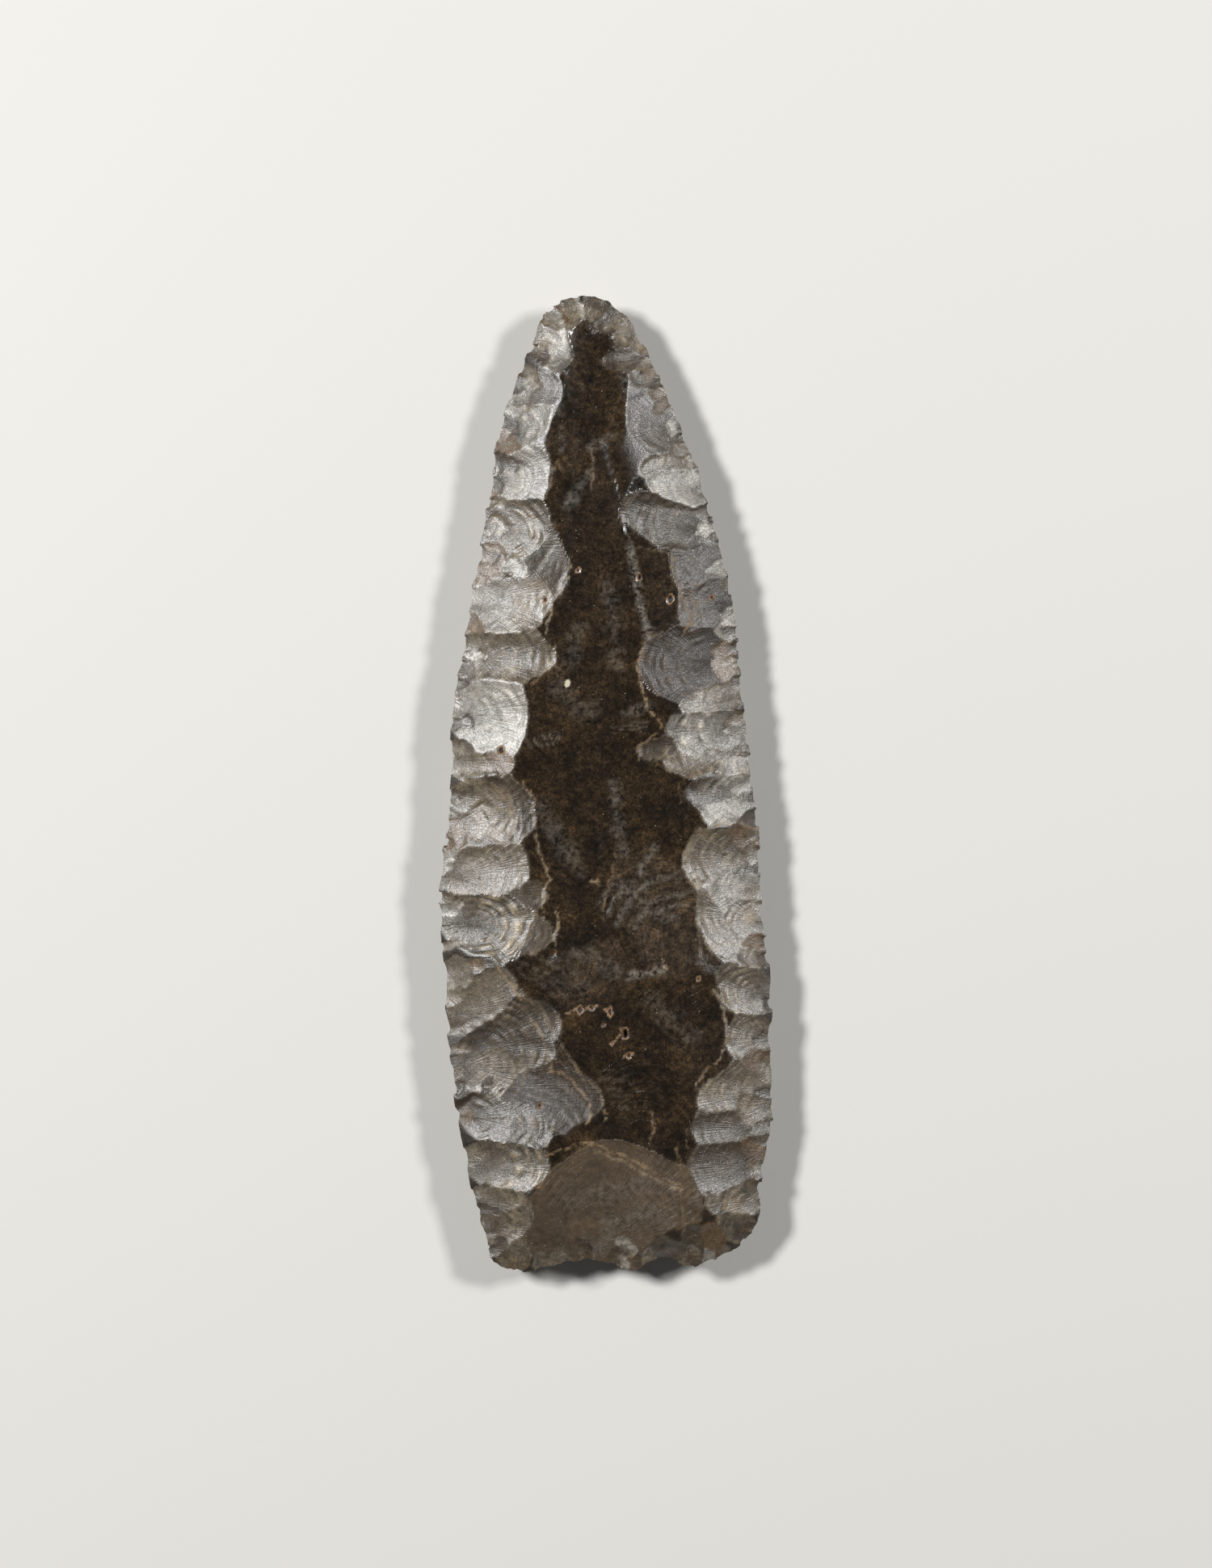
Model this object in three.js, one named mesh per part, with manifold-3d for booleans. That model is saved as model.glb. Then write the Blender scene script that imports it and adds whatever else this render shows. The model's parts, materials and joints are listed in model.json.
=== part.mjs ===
// Flint biface: one stone, flaked on both faces to a long point with a square base.
// It lies on its reverse: +Z up, the tip towards +Y, the origin under the middle of its outline.
// The form is made as the stone was: a blank is shaped, and then each flake is struck off it.
import * as THREE from "three";
import { mergeVertices } from "three/addons/utils/BufferGeometryUtils.js";
import Module from "manifold-3d";

// Driving dimensions, in millimetres.
const length = 150;
const width = 51;
const obverseRise = 5.4;
const reverseRise = 5.1;
const marginWidth = 13.5;
const edgeAllowance = 0.35;
const restPanelLength = 70;
const restPanelWidth = 13;
const gridStep = 6;
const platformZone = 3.5;
const platformOutside = 0.8;
const overrun = 6;

// Shares and counts that shape the faces and the flakes.
const percent = 1 / 100;
const crownShare = 2.1;
const hollowShare = 0.08;
const climbShare = 0.42;
const bendShare = 0.3;
const bowlReachShare = 1.5;
const fineBowl = { sides: 9, rings: 2 };
const plainBowl = { sides: 6, rings: 2 };
const rimSamples = 16;
const outerSearchShare = 1.8;
const halvings = 14;
const outlineStepsPerPoint = 3;

// The outline, anticlockwise from the middle of the base: x in percent of half the width, and y in percent
// of the length.
const outlineShares = [
  [-14, 1.4], [2, 0.95], [18, 0.3], [27, 1], [36, 1.5], [45, 0.8], [54, 0.7], [72, 2.1], [87, 4.2],
  [92, 7], [93.5, 9.5], [96, 12.5], [99, 16], [98.5, 20], [99, 25], [97, 31], [93.5, 37], [91, 42],
  [91, 45.5], [88, 49], [85, 53], [83, 57], [80, 61], [78, 65], [76, 68.5], [72, 72], [66.5, 75.5],
  [60, 79], [53, 82.8], [45, 86], [40, 88.5], [33, 91], [24, 94.2], [13, 97.3], [3, 99.1], [-11, 99.8],
  [-25, 99.4], [-36, 98.2], [-43, 96.2], [-47, 94.4], [-51, 92.5], [-58, 89.3], [-64, 86.3], [-68, 82.5],
  [-71.5, 78.5], [-75, 74.5], [-80.5, 71], [-83, 67], [-86, 63.5], [-91, 60], [-93, 55], [-93.5, 50],
  [-95.5, 45.5], [-99.5, 41.5], [-99.5, 36.5], [-97, 31], [-96.5, 27], [-93.5, 22], [-91, 18], [-86, 13.5],
  [-81, 9], [-76, 5.8], [-71.5, 2.8], [-66, 0.9], [-57, 0.2], [-44, 0.4], [-29, 0.9],
];

// Flakes of the obverse, in the order they were struck. A row holds where the flake was struck and where its
// scar ends (x and y as in the outline), the scar's breadth in percent of the length, and how hollow it is
// (1 is usual).
const panelShares = [
  [-5, 101, -10, 84, 7, 0.5], [-20, 88, -12, 60, 9, 0.35], [-25, 80, -5, 52, 12, 0.3],
  [30, 80, 30, 60, 8, 0.4], [-5, 58, 0, 30, 22, 0.3], [-35, 52, -25, 36, 9, 0.6],
  [70, 30, 5, 40, 9, 0.5], [-40, 33, 10, 29, 8, 0.35], [85, 25, 15, 24, 14, 0.35], [20, 10, 25, 22, 10, 0.4],
];
const olderLeftShares = [
  [-60, 75, -25, 70, 8, 0.8], [-85, 69, -34, 68.5, 7, 0.9], [-90, 46.5, -43, 46.5, 8.5, 1],
  [-92, 47, -54, 46.8, 7, 0.9], [-80, 39, -36, 38.5, 4, 0.8], [-75, 35, -29, 35, 4.5, 0.8],
  [-100, 23, -27, 25.5, 8, 0.9], [-95, 19.5, -2, 17.8, 8, 0.8], [-100, 22, -34, 23, 6.5, 1],
  [-75, 19.2, -10, 17, 5.2, 0.9], [-75, 15.8, -36, 14.3, 5, 1],
];
const olderRightShares = [
  [75, 75, 40, 71, 7, 0.8], [75, 68, 42, 67.5, 6, 0.8], [48, 89.5, 11, 88.5, 5.5, 0.9],
  [98, 36.5, 53, 36.5, 9, 0.9], [100, 42.5, 45, 42.3, 6.2, 0.9], [95, 49, 46, 48.7, 4, 0.9],
  [70, 54.5, 20, 53.3, 3.6, 0.8], [90, 54.5, 35, 52, 4.2, 0.9], [105, 18.5, 55, 18, 6.5, 0.9],
  [98, 15, 48, 14.6, 4, 0.9], [95, 7.8, 59, 8, 4.8, 0.9],
];
const basalShares = [[-12, -3, 6, 13.6, 15, 0.5]];
const youngerLeftShares = [
  [-56, 96, -20, 93.6, 4.6, 1], [-62, 90, -25, 90, 3.9, 1], [-70, 87.3, -33, 87, 3.6, 1],
  [-73, 86.3, -36, 86.2, 3.8, 1.1], [-80, 81, -33, 81, 6.6, 1], [-82, 76.5, -36, 75, 7.2, 1],
  [-92, 68, -45, 68, 6, 1], [-98, 63, -31, 62.5, 5.4, 1], [-104, 57.5, -47, 56.3, 8.2, 1],
  [-108, 40.5, -46, 41, 6.5, 1], [-100, 48.8, -72, 48.5, 3.3, 1], [-98, 45.8, -69, 45.6, 3.5, 1],
  [-110, 35.5, -41, 35.9, 6.8, 1.1], [-103, 25.3, -53, 30.2, 4.2, 1], [-100, 21.2, -51, 20.7, 4.8, 1],
  [-98, 16, -56, 15.8, 5.1, 1], [-95, 10.8, -34, 11.2, 5.1, 1.1], [-84, 4.2, -44, 5.4, 4.6, 0.8],
  [-88, 7.3, -50, 7.6, 2.6, 0.8],
];
const youngerRightShares = [
  [55, 86.5, 12, 86.2, 6, 1], [62, 83.7, 21, 81.6, 3.2, 1], [68, 80.3, 26, 79.8, 4.8, 1.1],
  [76, 75.5, 9, 77.2, 5.2, 1], [80, 72.8, 51, 72.6, 2.6, 1], [84, 68.6, 48, 68.4, 5.6, 1],
  [90, 62.8, 19, 61.5, 8.4, 1], [90, 59.2, 45, 57.9, 3.4, 1], [94, 56.3, 36, 54.5, 4.6, 1],
  [99, 48.8, 57, 48.5, 5.4, 1.1], [98, 42, 65, 41.8, 2.8, 1], [99, 39.5, 61, 39, 4.2, 1.1],
  [105, 28.5, 66, 28.9, 5.4, 1], [106, 24, 71, 24, 5, 1], [100, 11, 47, 11.3, 5.2, 1],
];
const retouchShares = [
  [16, -0.2, 10, 3.3, 2.2, 1.2], [38, 0, 34, 3.8, 3.6, 1.1], [58, 0, 50, 4.6, 2.6, 1],
  [72, 1, 60, 5, 2.6, 1], [-58, -1, -52, 3.4, 2.4, 0.8],
  [-50, 95.2, -34, 95.2, 1.9, 1], [-46, 96.7, -38, 96.7, 1.3, 1], [-41, 98.5, -26, 96.5, 2.1, 0.9],
  [-26, 100.2, -18, 96.7, 2.4, 0.9], [-61, 88.2, -49, 88.1, 1.6, 1], [-67, 84.7, -52, 85, 2.3, 1],
  [-71, 82.6, -49, 82.8, 1.7, 1], [-74, 79.3, -65, 79.4, 1.8, 1], [-77, 76, -62, 76.5, 3.2, 1],
  [-83, 72.5, -60, 73, 3.7, 1.1], [-64, 71.9, -49, 72.4, 2.2, 1], [-87, 66.3, -74, 66, 2.4, 1],
  [-89, 64, -73, 64, 2.8, 1], [-93, 61.4, -74, 61.7, 2.3, 1], [-96, 58.6, -88, 58.6, 2.2, 1],
  [-98, 52.3, -67, 51.8, 2.8, 1], [-74, 52.6, -56, 52.2, 2.3, 1], [-102, 45, -85, 44.8, 3.7, 0.9],
  [-103, 42.3, -90.5, 42.5, 2, 0.8], [-100, 31, -72, 31.6, 2, 1.1],
  [-102, 29, -85, 29.3, 2.5, 1.1],
  [-4, 101.2, -6, 97.6, 2.6, 0.9], [15, 98.9, -6, 96.3, 3.2, 0.9], [20, 96.4, 2, 95.2, 2.8, 1],
  [27, 94, 18, 93.9, 2.6, 1], [24, 93.6, -3, 92.9, 2.4, 0.8], [33, 91.9, 21, 91.8, 1.9, 1],
  [30, 91.2, 13, 91.4, 1.8, 1], [40, 89.4, 29, 89.9, 1.8, 1], [46, 86.9, 38, 86.9, 3.4, 1],
  [80, 66.8, 68, 66.2, 1.9, 1.1], [80, 65.2, 66, 65.3, 1.3, 1.1], [82, 62.5, 63, 62.5, 3.6, 1],
  [86, 52, 70, 51.8, 2, 1.1], [91, 51.3, 83, 51.3, 2.8, 1], [95, 44.7, 74, 44.5, 3.1, 1],
  [98, 36, 72, 35.6, 5, 1], [99, 32.4, 79, 32.5, 2.5, 1], [100, 21.6, 83, 21.5, 3.2, 1],
  [101, 20.2, 89, 20.2, 1.7, 1.3], [100, 18.8, 81, 19, 3, 1], [101, 16.8, 77, 16.8, 4.2, 1],
  [104, 15, 89, 14, 2.4, 1.1], [99, 12.4, 82, 12.8, 3.1, 1], [97, 7.4, 68, 7.2, 3.8, 1],
  [94, 4.3, 67, 5, 3, 1],
];

// Flakes of the reverse run in from both margins, in three series from long to short. Each series goes down
// the margin in steps, and its small irregularities repeat in cycles of different lengths.
const reverseSeries = [
  { flakes: 8, reachShare: 1, breadthShare: 1.4, bowl: fineBowl },
  { flakes: 10, reachShare: 0.72, breadthShare: 1.15, bowl: fineBowl },
  { flakes: 12, reachShare: 0.34, breadthShare: 1.05, bowl: plainBowl },
];
const reachCycleShares = [1, 0.86, 1.08, 0.94, 0.8];
const breadthCycleShares = [1, 1.12, 0.88];
const slantCycleShares = [0.2, -0.35, 0.1, 0.3, -0.15, -0.25, 0.35];
const struckOutsideShare = 0.05;
const lowestFlakeShare = 8;
const highestFlakeShare = 95;
const panelTaperShare = 4;
const reverseEndShares = [
  [-34, -1.5, -26, 12, 8, 0.6], [36, -1.5, 26, 12, 8, 0.6], [2, -1.5, 0, 9, 6, 0.8],
  [-62, -1.5, -50, 7, 5, 0.7], [72, -1, 56, 8, 5, 0.7], [-14, 101, -12, 91, 3.6, 0.8],
  [6, 100.2, -2, 95, 3, 0.8], [-36, 99.8, -20, 95, 3, 0.8],
];

const wasm = await Module();
wasm.setup();

/** A place given in percent shares as a point in millimetres. */
function place(xShare, yShare) {
  return new THREE.Vector2((xShare * percent * width) / 2, yShare * percent * length);
}

/** The closed outline of the blank in millimetres: the stone's own, and a rim that the flaking takes off. */
function outlinePoints() {
  const corners = outlineShares.map(([x, y]) => place(x, y));
  const grown = corners.map((corner, i) => {
    const before = corners.at(i - 1);
    const after = corners[(i + 1) % corners.length];
    const along = after.clone().sub(before).normalize();
    const outwards = new THREE.Vector3(along.y, -along.x, 0);
    return outwards.multiplyScalar(edgeAllowance).add(new THREE.Vector3(corner.x, corner.y, 0));
  });
  const curve = new THREE.CatmullRomCurve3(grown, true, "catmullrom");
  return curve.getPoints(grown.length * outlineStepsPerPoint).slice(1);
}

const outline = outlinePoints();

/** Distance from a point in plan to the outline, positive inside it. */
function distanceInside(x, y) {
  let nearest = Infinity;
  let inside = false;
  for (let i = 0; i < outline.length; i += 1) {
    const a = outline[i];
    const b = outline[(i + 1) % outline.length];
    const dx = b.x - a.x;
    const dy = b.y - a.y;
    const along = ((x - a.x) * dx + (y - a.y) * dy) / (dx * dx + dy * dy);
    const share = THREE.MathUtils.clamp(along, 0, 1);
    nearest = Math.min(nearest, Math.hypot(x - a.x - share * dx, y - a.y - share * dy));
    const crosses = a.y > y !== b.y > y;
    if (crosses && x < a.x + (dx * (y - a.y)) / dy) inside = !inside;
  }
  return inside ? nearest : -nearest;
}

/** Whether a flake struck at a point takes the edge of the stone with it. */
function isMarginal(point) {
  return distanceInside(point.x, point.y) < platformZone;
}

/** The point on the line of a blow where it crosses the edge of the finished stone, found by halving. */
function edgeCrossing(from, to) {
  let inner = to.clone();
  let outer = from.clone().sub(to).multiplyScalar(outerSearchShare).add(to);
  for (let i = 0; i < halvings; i += 1) {
    const middle = inner.clone().add(outer).divideScalar(2);
    if (distanceInside(middle.x, middle.y) > edgeAllowance) inner = middle;
    else outer = middle;
  }
  return inner;
}

/** Height of a face of the blank over the edge plane: it climbs over the margin and is flat inside. */
function blankHeight(x, y, rise) {
  const inwards = distanceInside(x, y);
  if (inwards < 0) return (inwards * rise * crownShare) / marginWidth;
  const share = Math.min(inwards / marginWidth, 1);
  return rise * (1 - (1 - share) ** crownShare);
}

/** One face of the stone. Its height is that of the blank, less every flake struck so far. */
class Face {
  constructor(rise) {
    this.rise = rise;
    this.flakes = [];
  }

  height(x, y) {
    const start = blankHeight(x, y, this.rise);
    return this.flakes.reduce((lowest, flake) => Math.min(lowest, flake.height(x, y)), start);
  }

  /** Strikes one flake: its bowl is laid on the face as it is, tilted to fit it round the scar's rim. */
  strike(from, to, breadth, hollow, bowl) {
    const flake = new Flake(from, to, breadth, hollow, bowl);
    flake.settle(this);
    this.flakes.push(flake);
  }

  /** Strikes the flakes of a table of shares. */
  strikeTable(table, bowl) {
    for (const [fromX, fromY, toX, toY, breadth, hollow] of table) {
      this.strike(place(fromX, fromY), place(toX, toY), breadth * percent * length, hollow, bowl);
    }
  }
}

/** A flake scar: an elliptical bowl along the line of the blow. */
class Flake {
  constructor(from, to, breadth, hollow, bowl) {
    this.along = to.clone().sub(from).normalize();
    this.edge = isMarginal(from) ? edgeCrossing(from, to) : null;
    const start = this.edge ? this.edge.clone().addScaledVector(this.along, -platformOutside) : from;
    this.centre = start.clone().add(to).divideScalar(2);
    this.halfLength = start.distanceTo(to) / 2;
    this.halfBreadth = breadth / 2;
    this.depth = hollow * hollowShare * Math.min(this.halfLength, this.halfBreadth);
    this.bowl = bowl;
    this.level = 0;
    this.pitch = 0;
    this.roll = 0;
    this.bend = 0;
  }

  /** A point in plan as shares of the bowl's half length and half breadth. */
  shares(x, y) {
    const dx = x - this.centre.x;
    const dy = y - this.centre.y;
    const { x: ax, y: ay } = this.along;
    return [(dx * ax + dy * ay) / this.halfLength, (dy * ax - dx * ay) / this.halfBreadth];
  }

  /** Fits the bowl's rim to the face by least squares over even points round it: a tilted, bent plane. */
  settle(face) {
    let level = 0;
    let pitch = 0;
    let roll = 0;
    let bend = 0;
    for (let i = 0; i < rimSamples; i += 1) {
      const angle = (i / rimSamples) * 2 * Math.PI;
      const u = Math.cos(angle);
      const v = Math.sin(angle);
      const x = this.centre.x + u * this.halfLength * this.along.x - v * this.halfBreadth * this.along.y;
      const y = this.centre.y + u * this.halfLength * this.along.y + v * this.halfBreadth * this.along.x;
      const height = face.height(x, y);
      level += height / rimSamples;
      pitch += (2 * height * u) / rimSamples;
      roll += (2 * height * v) / rimSamples;
      bend += (2 * height * (u * u - v * v)) / rimSamples;
    }
    Object.assign(this, { level, pitch, roll, bend });
    if (this.edge) this.meetEdge();
  }

  /** Lays the bowl through the edge of the stone, and makes it shallow enough to climb from there. */
  meetEdge() {
    this.tiltToEdge();
    this.bend = Math.min(this.bend, bendShare * this.pitch);
    this.depth = Math.min(this.depth, climbShare * this.pitch - this.bend);
    this.tiltToEdge();
  }

  /** Tilts the bowl about its far end until it passes through the edge of the stone at its platform. */
  tiltToEdge() {
    const [u] = this.shares(this.edge.x, this.edge.y);
    const lift = -this.height(this.edge.x, this.edge.y) / (1 - u);
    this.level += lift;
    this.pitch -= lift;
  }

  height(x, y) {
    const [u, v] = this.shares(x, y);
    if (u * u + v * v > bowlReachShare ** 2) return Infinity;
    return this.level + this.pitch * u + this.roll * v + this.bowlHeight(u, v);
  }

  /** Height of the bowl over its tilted rim plane. Its bend dies away beyond the rim. */
  bowlHeight(u, v) {
    const reach = u * u + v * v;
    return this.depth * (reach - 1) + (this.bend * (u * u - v * v)) / Math.max(reach, 1) ** 2;
  }

  /** The flake as a solid: its bowl under a lid, scaled, sheared to the rim's plane and set in place. */
  solid(side) {
    const { halfLength, halfBreadth, along } = this;
    const matrix = new THREE.Matrix4().set(
      halfLength * along.x, -halfBreadth * along.y, 0, this.centre.x,
      halfLength * along.y, halfBreadth * along.x, 0, this.centre.y,
      side * this.pitch, side * this.roll, side, side * this.level,
      0, 0, 0, 1,
    );
    const lidHeight = obverseRise + reverseRise;
    const geometry = liddedDisc(this.bowl, lidHeight);
    const position = geometry.getAttribute("position");
    for (let i = 0; i < position.count; i += 1) {
      const isFloor = position.getZ(i) < lidHeight / 2;
      if (isFloor) position.setZ(i, this.bowlHeight(position.getX(i), position.getY(i)));
    }
    geometry.applyMatrix4(matrix);
    if (side < 0) turnFaces(geometry);
    return solidOf(geometry);
  }
}

/** A drum whose floor is a disc of rings at height 0, as wide as a bowl reaches, closed by a lid over it. */
function liddedDisc({ sides, rings }, lidHeight) {
  const profile = [];
  for (let i = 0; i <= rings; i += 1) profile.push(new THREE.Vector2((bowlReachShare * i) / rings, 0));
  profile.push(new THREE.Vector2(bowlReachShare, lidHeight), new THREE.Vector2(0, lidHeight));
  return new THREE.LatheGeometry(profile, sides).rotateX(Math.PI / 2);
}

/** Turns every triangle of an indexed geometry round. */
function turnFaces(geometry) {
  const order = geometry.index.array;
  for (let i = 0; i < order.length; i += 3) {
    [order[i], order[i + 1]] = [order[i + 1], order[i]];
  }
}

/** A closed geometry as a solid that can be cut. */
function solidOf(geometry) {
  geometry.deleteAttribute("normal");
  geometry.deleteAttribute("uv");
  const merged = mergeVertices(geometry);
  const vertProperties = merged.getAttribute("position").array;
  const triVerts = new Uint32Array(merged.index.array);
  return new wasm.Manifold(new wasm.Mesh({ numProp: 3, vertProperties, triVerts }));
}

/** A slab whose outer side is one face of the blank. Its flat inner side lies past the other face. */
function faceSlab(face, side) {
  const spanX = width + 2 * overrun;
  const spanY = length + 2 * overrun;
  const geometry = new THREE.BoxGeometry(
    spanX, spanY, 1, Math.round(spanX / gridStep), Math.round(spanY / gridStep), 1,
  );
  geometry.translate(0, length / 2, 0);
  const position = geometry.getAttribute("position");
  for (let i = 0; i < position.count; i += 1) {
    const x = position.getX(i);
    const y = position.getY(i);
    const isOuter = position.getZ(i) * side > 0;
    position.setZ(i, side * (isOuter ? face.height(x, y) : -obverseRise - reverseRise - overrun));
  }
  return solidOf(geometry);
}

/** The x of the margin at a height of the outline, on one side. */
function marginAt(y, side) {
  const crossings = [];
  outline.forEach((a, i) => {
    const b = outline[(i + 1) % outline.length];
    if (a.y > y !== b.y > y) crossings.push(a.x + ((b.x - a.x) * (y - a.y)) / (b.y - a.y));
  });
  return side > 0 ? Math.max(...crossings) : Math.min(...crossings);
}

/** Strikes the obverse as the stone shows it: older flakes first, then the younger ones and the retouch. */
function strikeObverse(face) {
  face.strikeTable(panelShares, fineBowl);
  face.strikeTable(olderLeftShares, fineBowl);
  face.strikeTable(olderRightShares, fineBowl);
  face.strikeTable(basalShares, fineBowl);
  face.strikeTable(youngerLeftShares, fineBowl);
  face.strikeTable(youngerRightShares, fineBowl);
  face.strikeTable(retouchShares, plainBowl);
}

/** Strikes one series down one margin of the reverse, leaving the rest panel in the middle of the face. */
function strikeMargin(face, series, side) {
  const low = lowestFlakeShare * percent * length;
  const high = highestFlakeShare * percent * length;
  const pitch = (high - low) / series.flakes;
  for (let i = 0; i < series.flakes; i += 1) {
    const cycle = i + (side > 0 ? 1 : 0);
    const y = high - (pitch * (2 * i + 1)) / 2;
    const edge = marginAt(y, side);
    const halfWidth = Math.abs(edge);
    const pastPanel = Math.max(Math.abs(y - length / 2) - restPanelLength / 2, 0);
    const panelLeft = 1 - (panelTaperShare * pastPanel) / (length - restPanelLength);
    const stop = (restPanelWidth / 2) * Math.max(panelLeft, 0);
    const reach = (halfWidth - stop) * series.reachShare * cyclic(reachCycleShares, cycle);
    const from = new THREE.Vector2(edge + side * halfWidth * struckOutsideShare, y);
    const to = new THREE.Vector2(side * Math.max(halfWidth - reach, stop), y);
    to.y += pitch * cyclic(slantCycleShares, cycle);
    const taper = Math.sqrt((2 * halfWidth) / width);
    const breadth = pitch * taper * series.breadthShare * cyclic(breadthCycleShares, cycle);
    face.strike(from, to, breadth, 1, series.bowl);
  }
}

/** The entry of a cycle of shares at a count that may run past its end. */
function cyclic(shares, count) {
  return shares[count % shares.length];
}

function strikeReverse(face) {
  face.strikeTable(reverseEndShares, fineBowl);
  for (const series of reverseSeries) {
    strikeMargin(face, series, -1);
    strikeMargin(face, series, 1);
  }
}

/** The finished stone, cut flake by flake from its blank. */
function flintStone() {
  const obverse = new Face(obverseRise);
  const reverse = new Face(reverseRise);
  let stone = faceSlab(obverse, 1).intersect(faceSlab(reverse, -1));
  strikeObverse(obverse);
  strikeReverse(reverse);
  for (const flake of obverse.flakes) stone = stone.subtract(flake.solid(1));
  for (const flake of reverse.flakes) stone = stone.subtract(flake.solid(-1));
  return stone;
}

/** A cut solid as a three.js geometry, moved so that the origin lies under the middle of its outline. */
function geometryOf(solid) {
  const { vertProperties, triVerts } = solid.getMesh();
  const geometry = new THREE.BufferGeometry();
  geometry.setAttribute("position", new THREE.BufferAttribute(vertProperties, 3));
  geometry.setIndex(new THREE.BufferAttribute(triVerts, 1));
  geometry.computeBoundingBox();
  const { min, max } = geometry.boundingBox;
  geometry.translate(-(min.x + max.x) / 2, -(min.y + max.y) / 2, -min.z);
  geometry.computeVertexNormals();
  return geometry;
}

const flint = new THREE.MeshStandardMaterial({ color: "#4a4036", roughness: 0.42, metalness: 0 });
const stone = new THREE.Mesh(geometryOf(flintStone()), flint);
stone.name = "flint_biface";

const biface = new THREE.Group();
biface.add(stone);

export default biface;
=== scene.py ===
import json
import logging
import math
from dataclasses import dataclass, field
from enum import Enum

import bpy
import numpy as np
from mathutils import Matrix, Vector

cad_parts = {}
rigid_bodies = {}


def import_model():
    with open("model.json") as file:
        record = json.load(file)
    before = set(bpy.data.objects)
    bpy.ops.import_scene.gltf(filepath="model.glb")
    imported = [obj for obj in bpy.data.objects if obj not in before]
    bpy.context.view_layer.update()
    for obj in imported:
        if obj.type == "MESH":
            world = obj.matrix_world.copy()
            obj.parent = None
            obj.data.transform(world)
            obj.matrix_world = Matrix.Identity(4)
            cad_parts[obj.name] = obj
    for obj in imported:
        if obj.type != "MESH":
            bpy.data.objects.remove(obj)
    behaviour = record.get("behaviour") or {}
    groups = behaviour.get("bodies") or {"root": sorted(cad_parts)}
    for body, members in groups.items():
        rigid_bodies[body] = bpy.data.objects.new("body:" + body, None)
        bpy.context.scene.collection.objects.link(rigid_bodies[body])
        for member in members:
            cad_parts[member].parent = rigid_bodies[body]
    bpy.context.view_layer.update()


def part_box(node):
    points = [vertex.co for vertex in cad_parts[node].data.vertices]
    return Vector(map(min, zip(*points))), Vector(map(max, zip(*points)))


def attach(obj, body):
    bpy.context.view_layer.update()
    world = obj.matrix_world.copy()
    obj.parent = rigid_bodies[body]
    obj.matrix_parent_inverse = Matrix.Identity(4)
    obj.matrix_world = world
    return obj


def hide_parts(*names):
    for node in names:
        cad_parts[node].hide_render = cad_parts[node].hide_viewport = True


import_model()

LOG = logging.getLogger("flint_biface")
METRES = 0.001
PERCENT = 0.01

Row = tuple
Floats = np.ndarray
Socket = bpy.types.NodeSocket

# The node types and settings that the flint's material uses most.
MATH, RANGE, MIX, NOISE = "ShaderNodeMath", "ShaderNodeMapRange", "ShaderNodeMix", "ShaderNodeTexNoise"
TIMES, TIMES_PLUS = {"operation": "MULTIPLY"}, {"operation": "MULTIPLY_ADD"}
SCALED, COLOURS = {"operation": "SCALE"}, {"data_type": "RGBA"}


class Tone(Enum):
    """The colours that the surface of the flint has, from its dark inside to its weathered crust. The paler margin
    tones are partly patina and partly painted satin sheen, since the flint itself is dark brown all through, and DUSK
    is partly painted shade.
    """

    PANEL = "p"
    SLATE = "s"
    GREY = "g"
    BRIGHT = "b"
    BROWN = "n"
    DUSK = "d"
    BASE = "e"
    UMBER = "u"


class Side(Enum):
    """The two faces of the stone, with the sign of their height over the edge plane."""

    OBVERSE = 1
    REVERSE = -1


# The outline, anticlockwise from the middle of the base: shares of half the width and of the length, in percent.
OUTLINE_SHARES: list[Row] = [
    (-14, 1.4), (2, 0.95), (18, 0.3), (27, 1), (36, 1.5), (45, 0.8), (54, 0.7), (72, 2.1), (87, 4.2),
    (92, 7), (93.5, 9.5), (96, 12.5), (99, 16), (98.5, 20), (99, 25), (97, 31), (93.5, 37), (91, 42),
    (91, 45.5), (88, 49), (85, 53), (83, 57), (80, 61), (78, 65), (76, 68.5), (72, 72), (66.5, 75.5),
    (60, 79), (53, 82.8), (45, 86), (40, 88.5), (33, 91), (24, 94.2), (13, 97.3), (3, 99.1), (-11, 99.8),
    (-25, 99.4), (-36, 98.2), (-43, 96.2), (-47, 94.4), (-51, 92.5), (-58, 89.3), (-64, 86.3), (-68, 82.5),
    (-71.5, 78.5), (-75, 74.5), (-80.5, 71), (-83, 67), (-86, 63.5), (-91, 60), (-93, 55), (-93.5, 50),
    (-95.5, 45.5), (-99.5, 41.5), (-99.5, 36.5), (-97, 31), (-96.5, 27), (-93.5, 22), (-91, 18), (-86, 13.5),
    (-81, 9), (-76, 5.8), (-71.5, 2.8), (-66, 0.9), (-57, 0.2), (-44, 0.4), (-29, 0.9),
]

# Blows in the order they were struck. A row holds where the flake was struck and where its scar ends (x and y as in
# the outline), the scar's breadth in percent of the length, how hollow it is, how strongly it is rippled and how
# abruptly it ends (1 is usual), and its tone.
PANEL_SHARES: list[Row] = [
    (-5, 101, -10, 84, 7, 0.5, 0.5, 0.4, "p"), (-20, 88, -12, 60, 9, 0.35, 0.3, 0.2, "p"),
    (-25, 80, -5, 52, 12, 0.3, 0.3, 0.4, "p"), (30, 80, 30, 60, 8, 0.4, 0.6, 0.3, "p"),
    (-5, 58, 0, 30, 22, 0.3, 0.3, 0.2, "p"), (-35, 52, -25, 36, 9, 0.6, 0.4, 0.2, "p"),
    (70, 30, 5, 40, 9, 0.5, 0.4, 0.9, "u"), (-40, 33, 10, 29, 8, 0.35, 0.4, 0.2, "u"),
    (85, 25, 15, 24, 14, 0.35, 0.3, 0.2, "p"), (20, 10, 25, 22, 10, 0.4, 0.5, 0.3, "p"),
]
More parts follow.
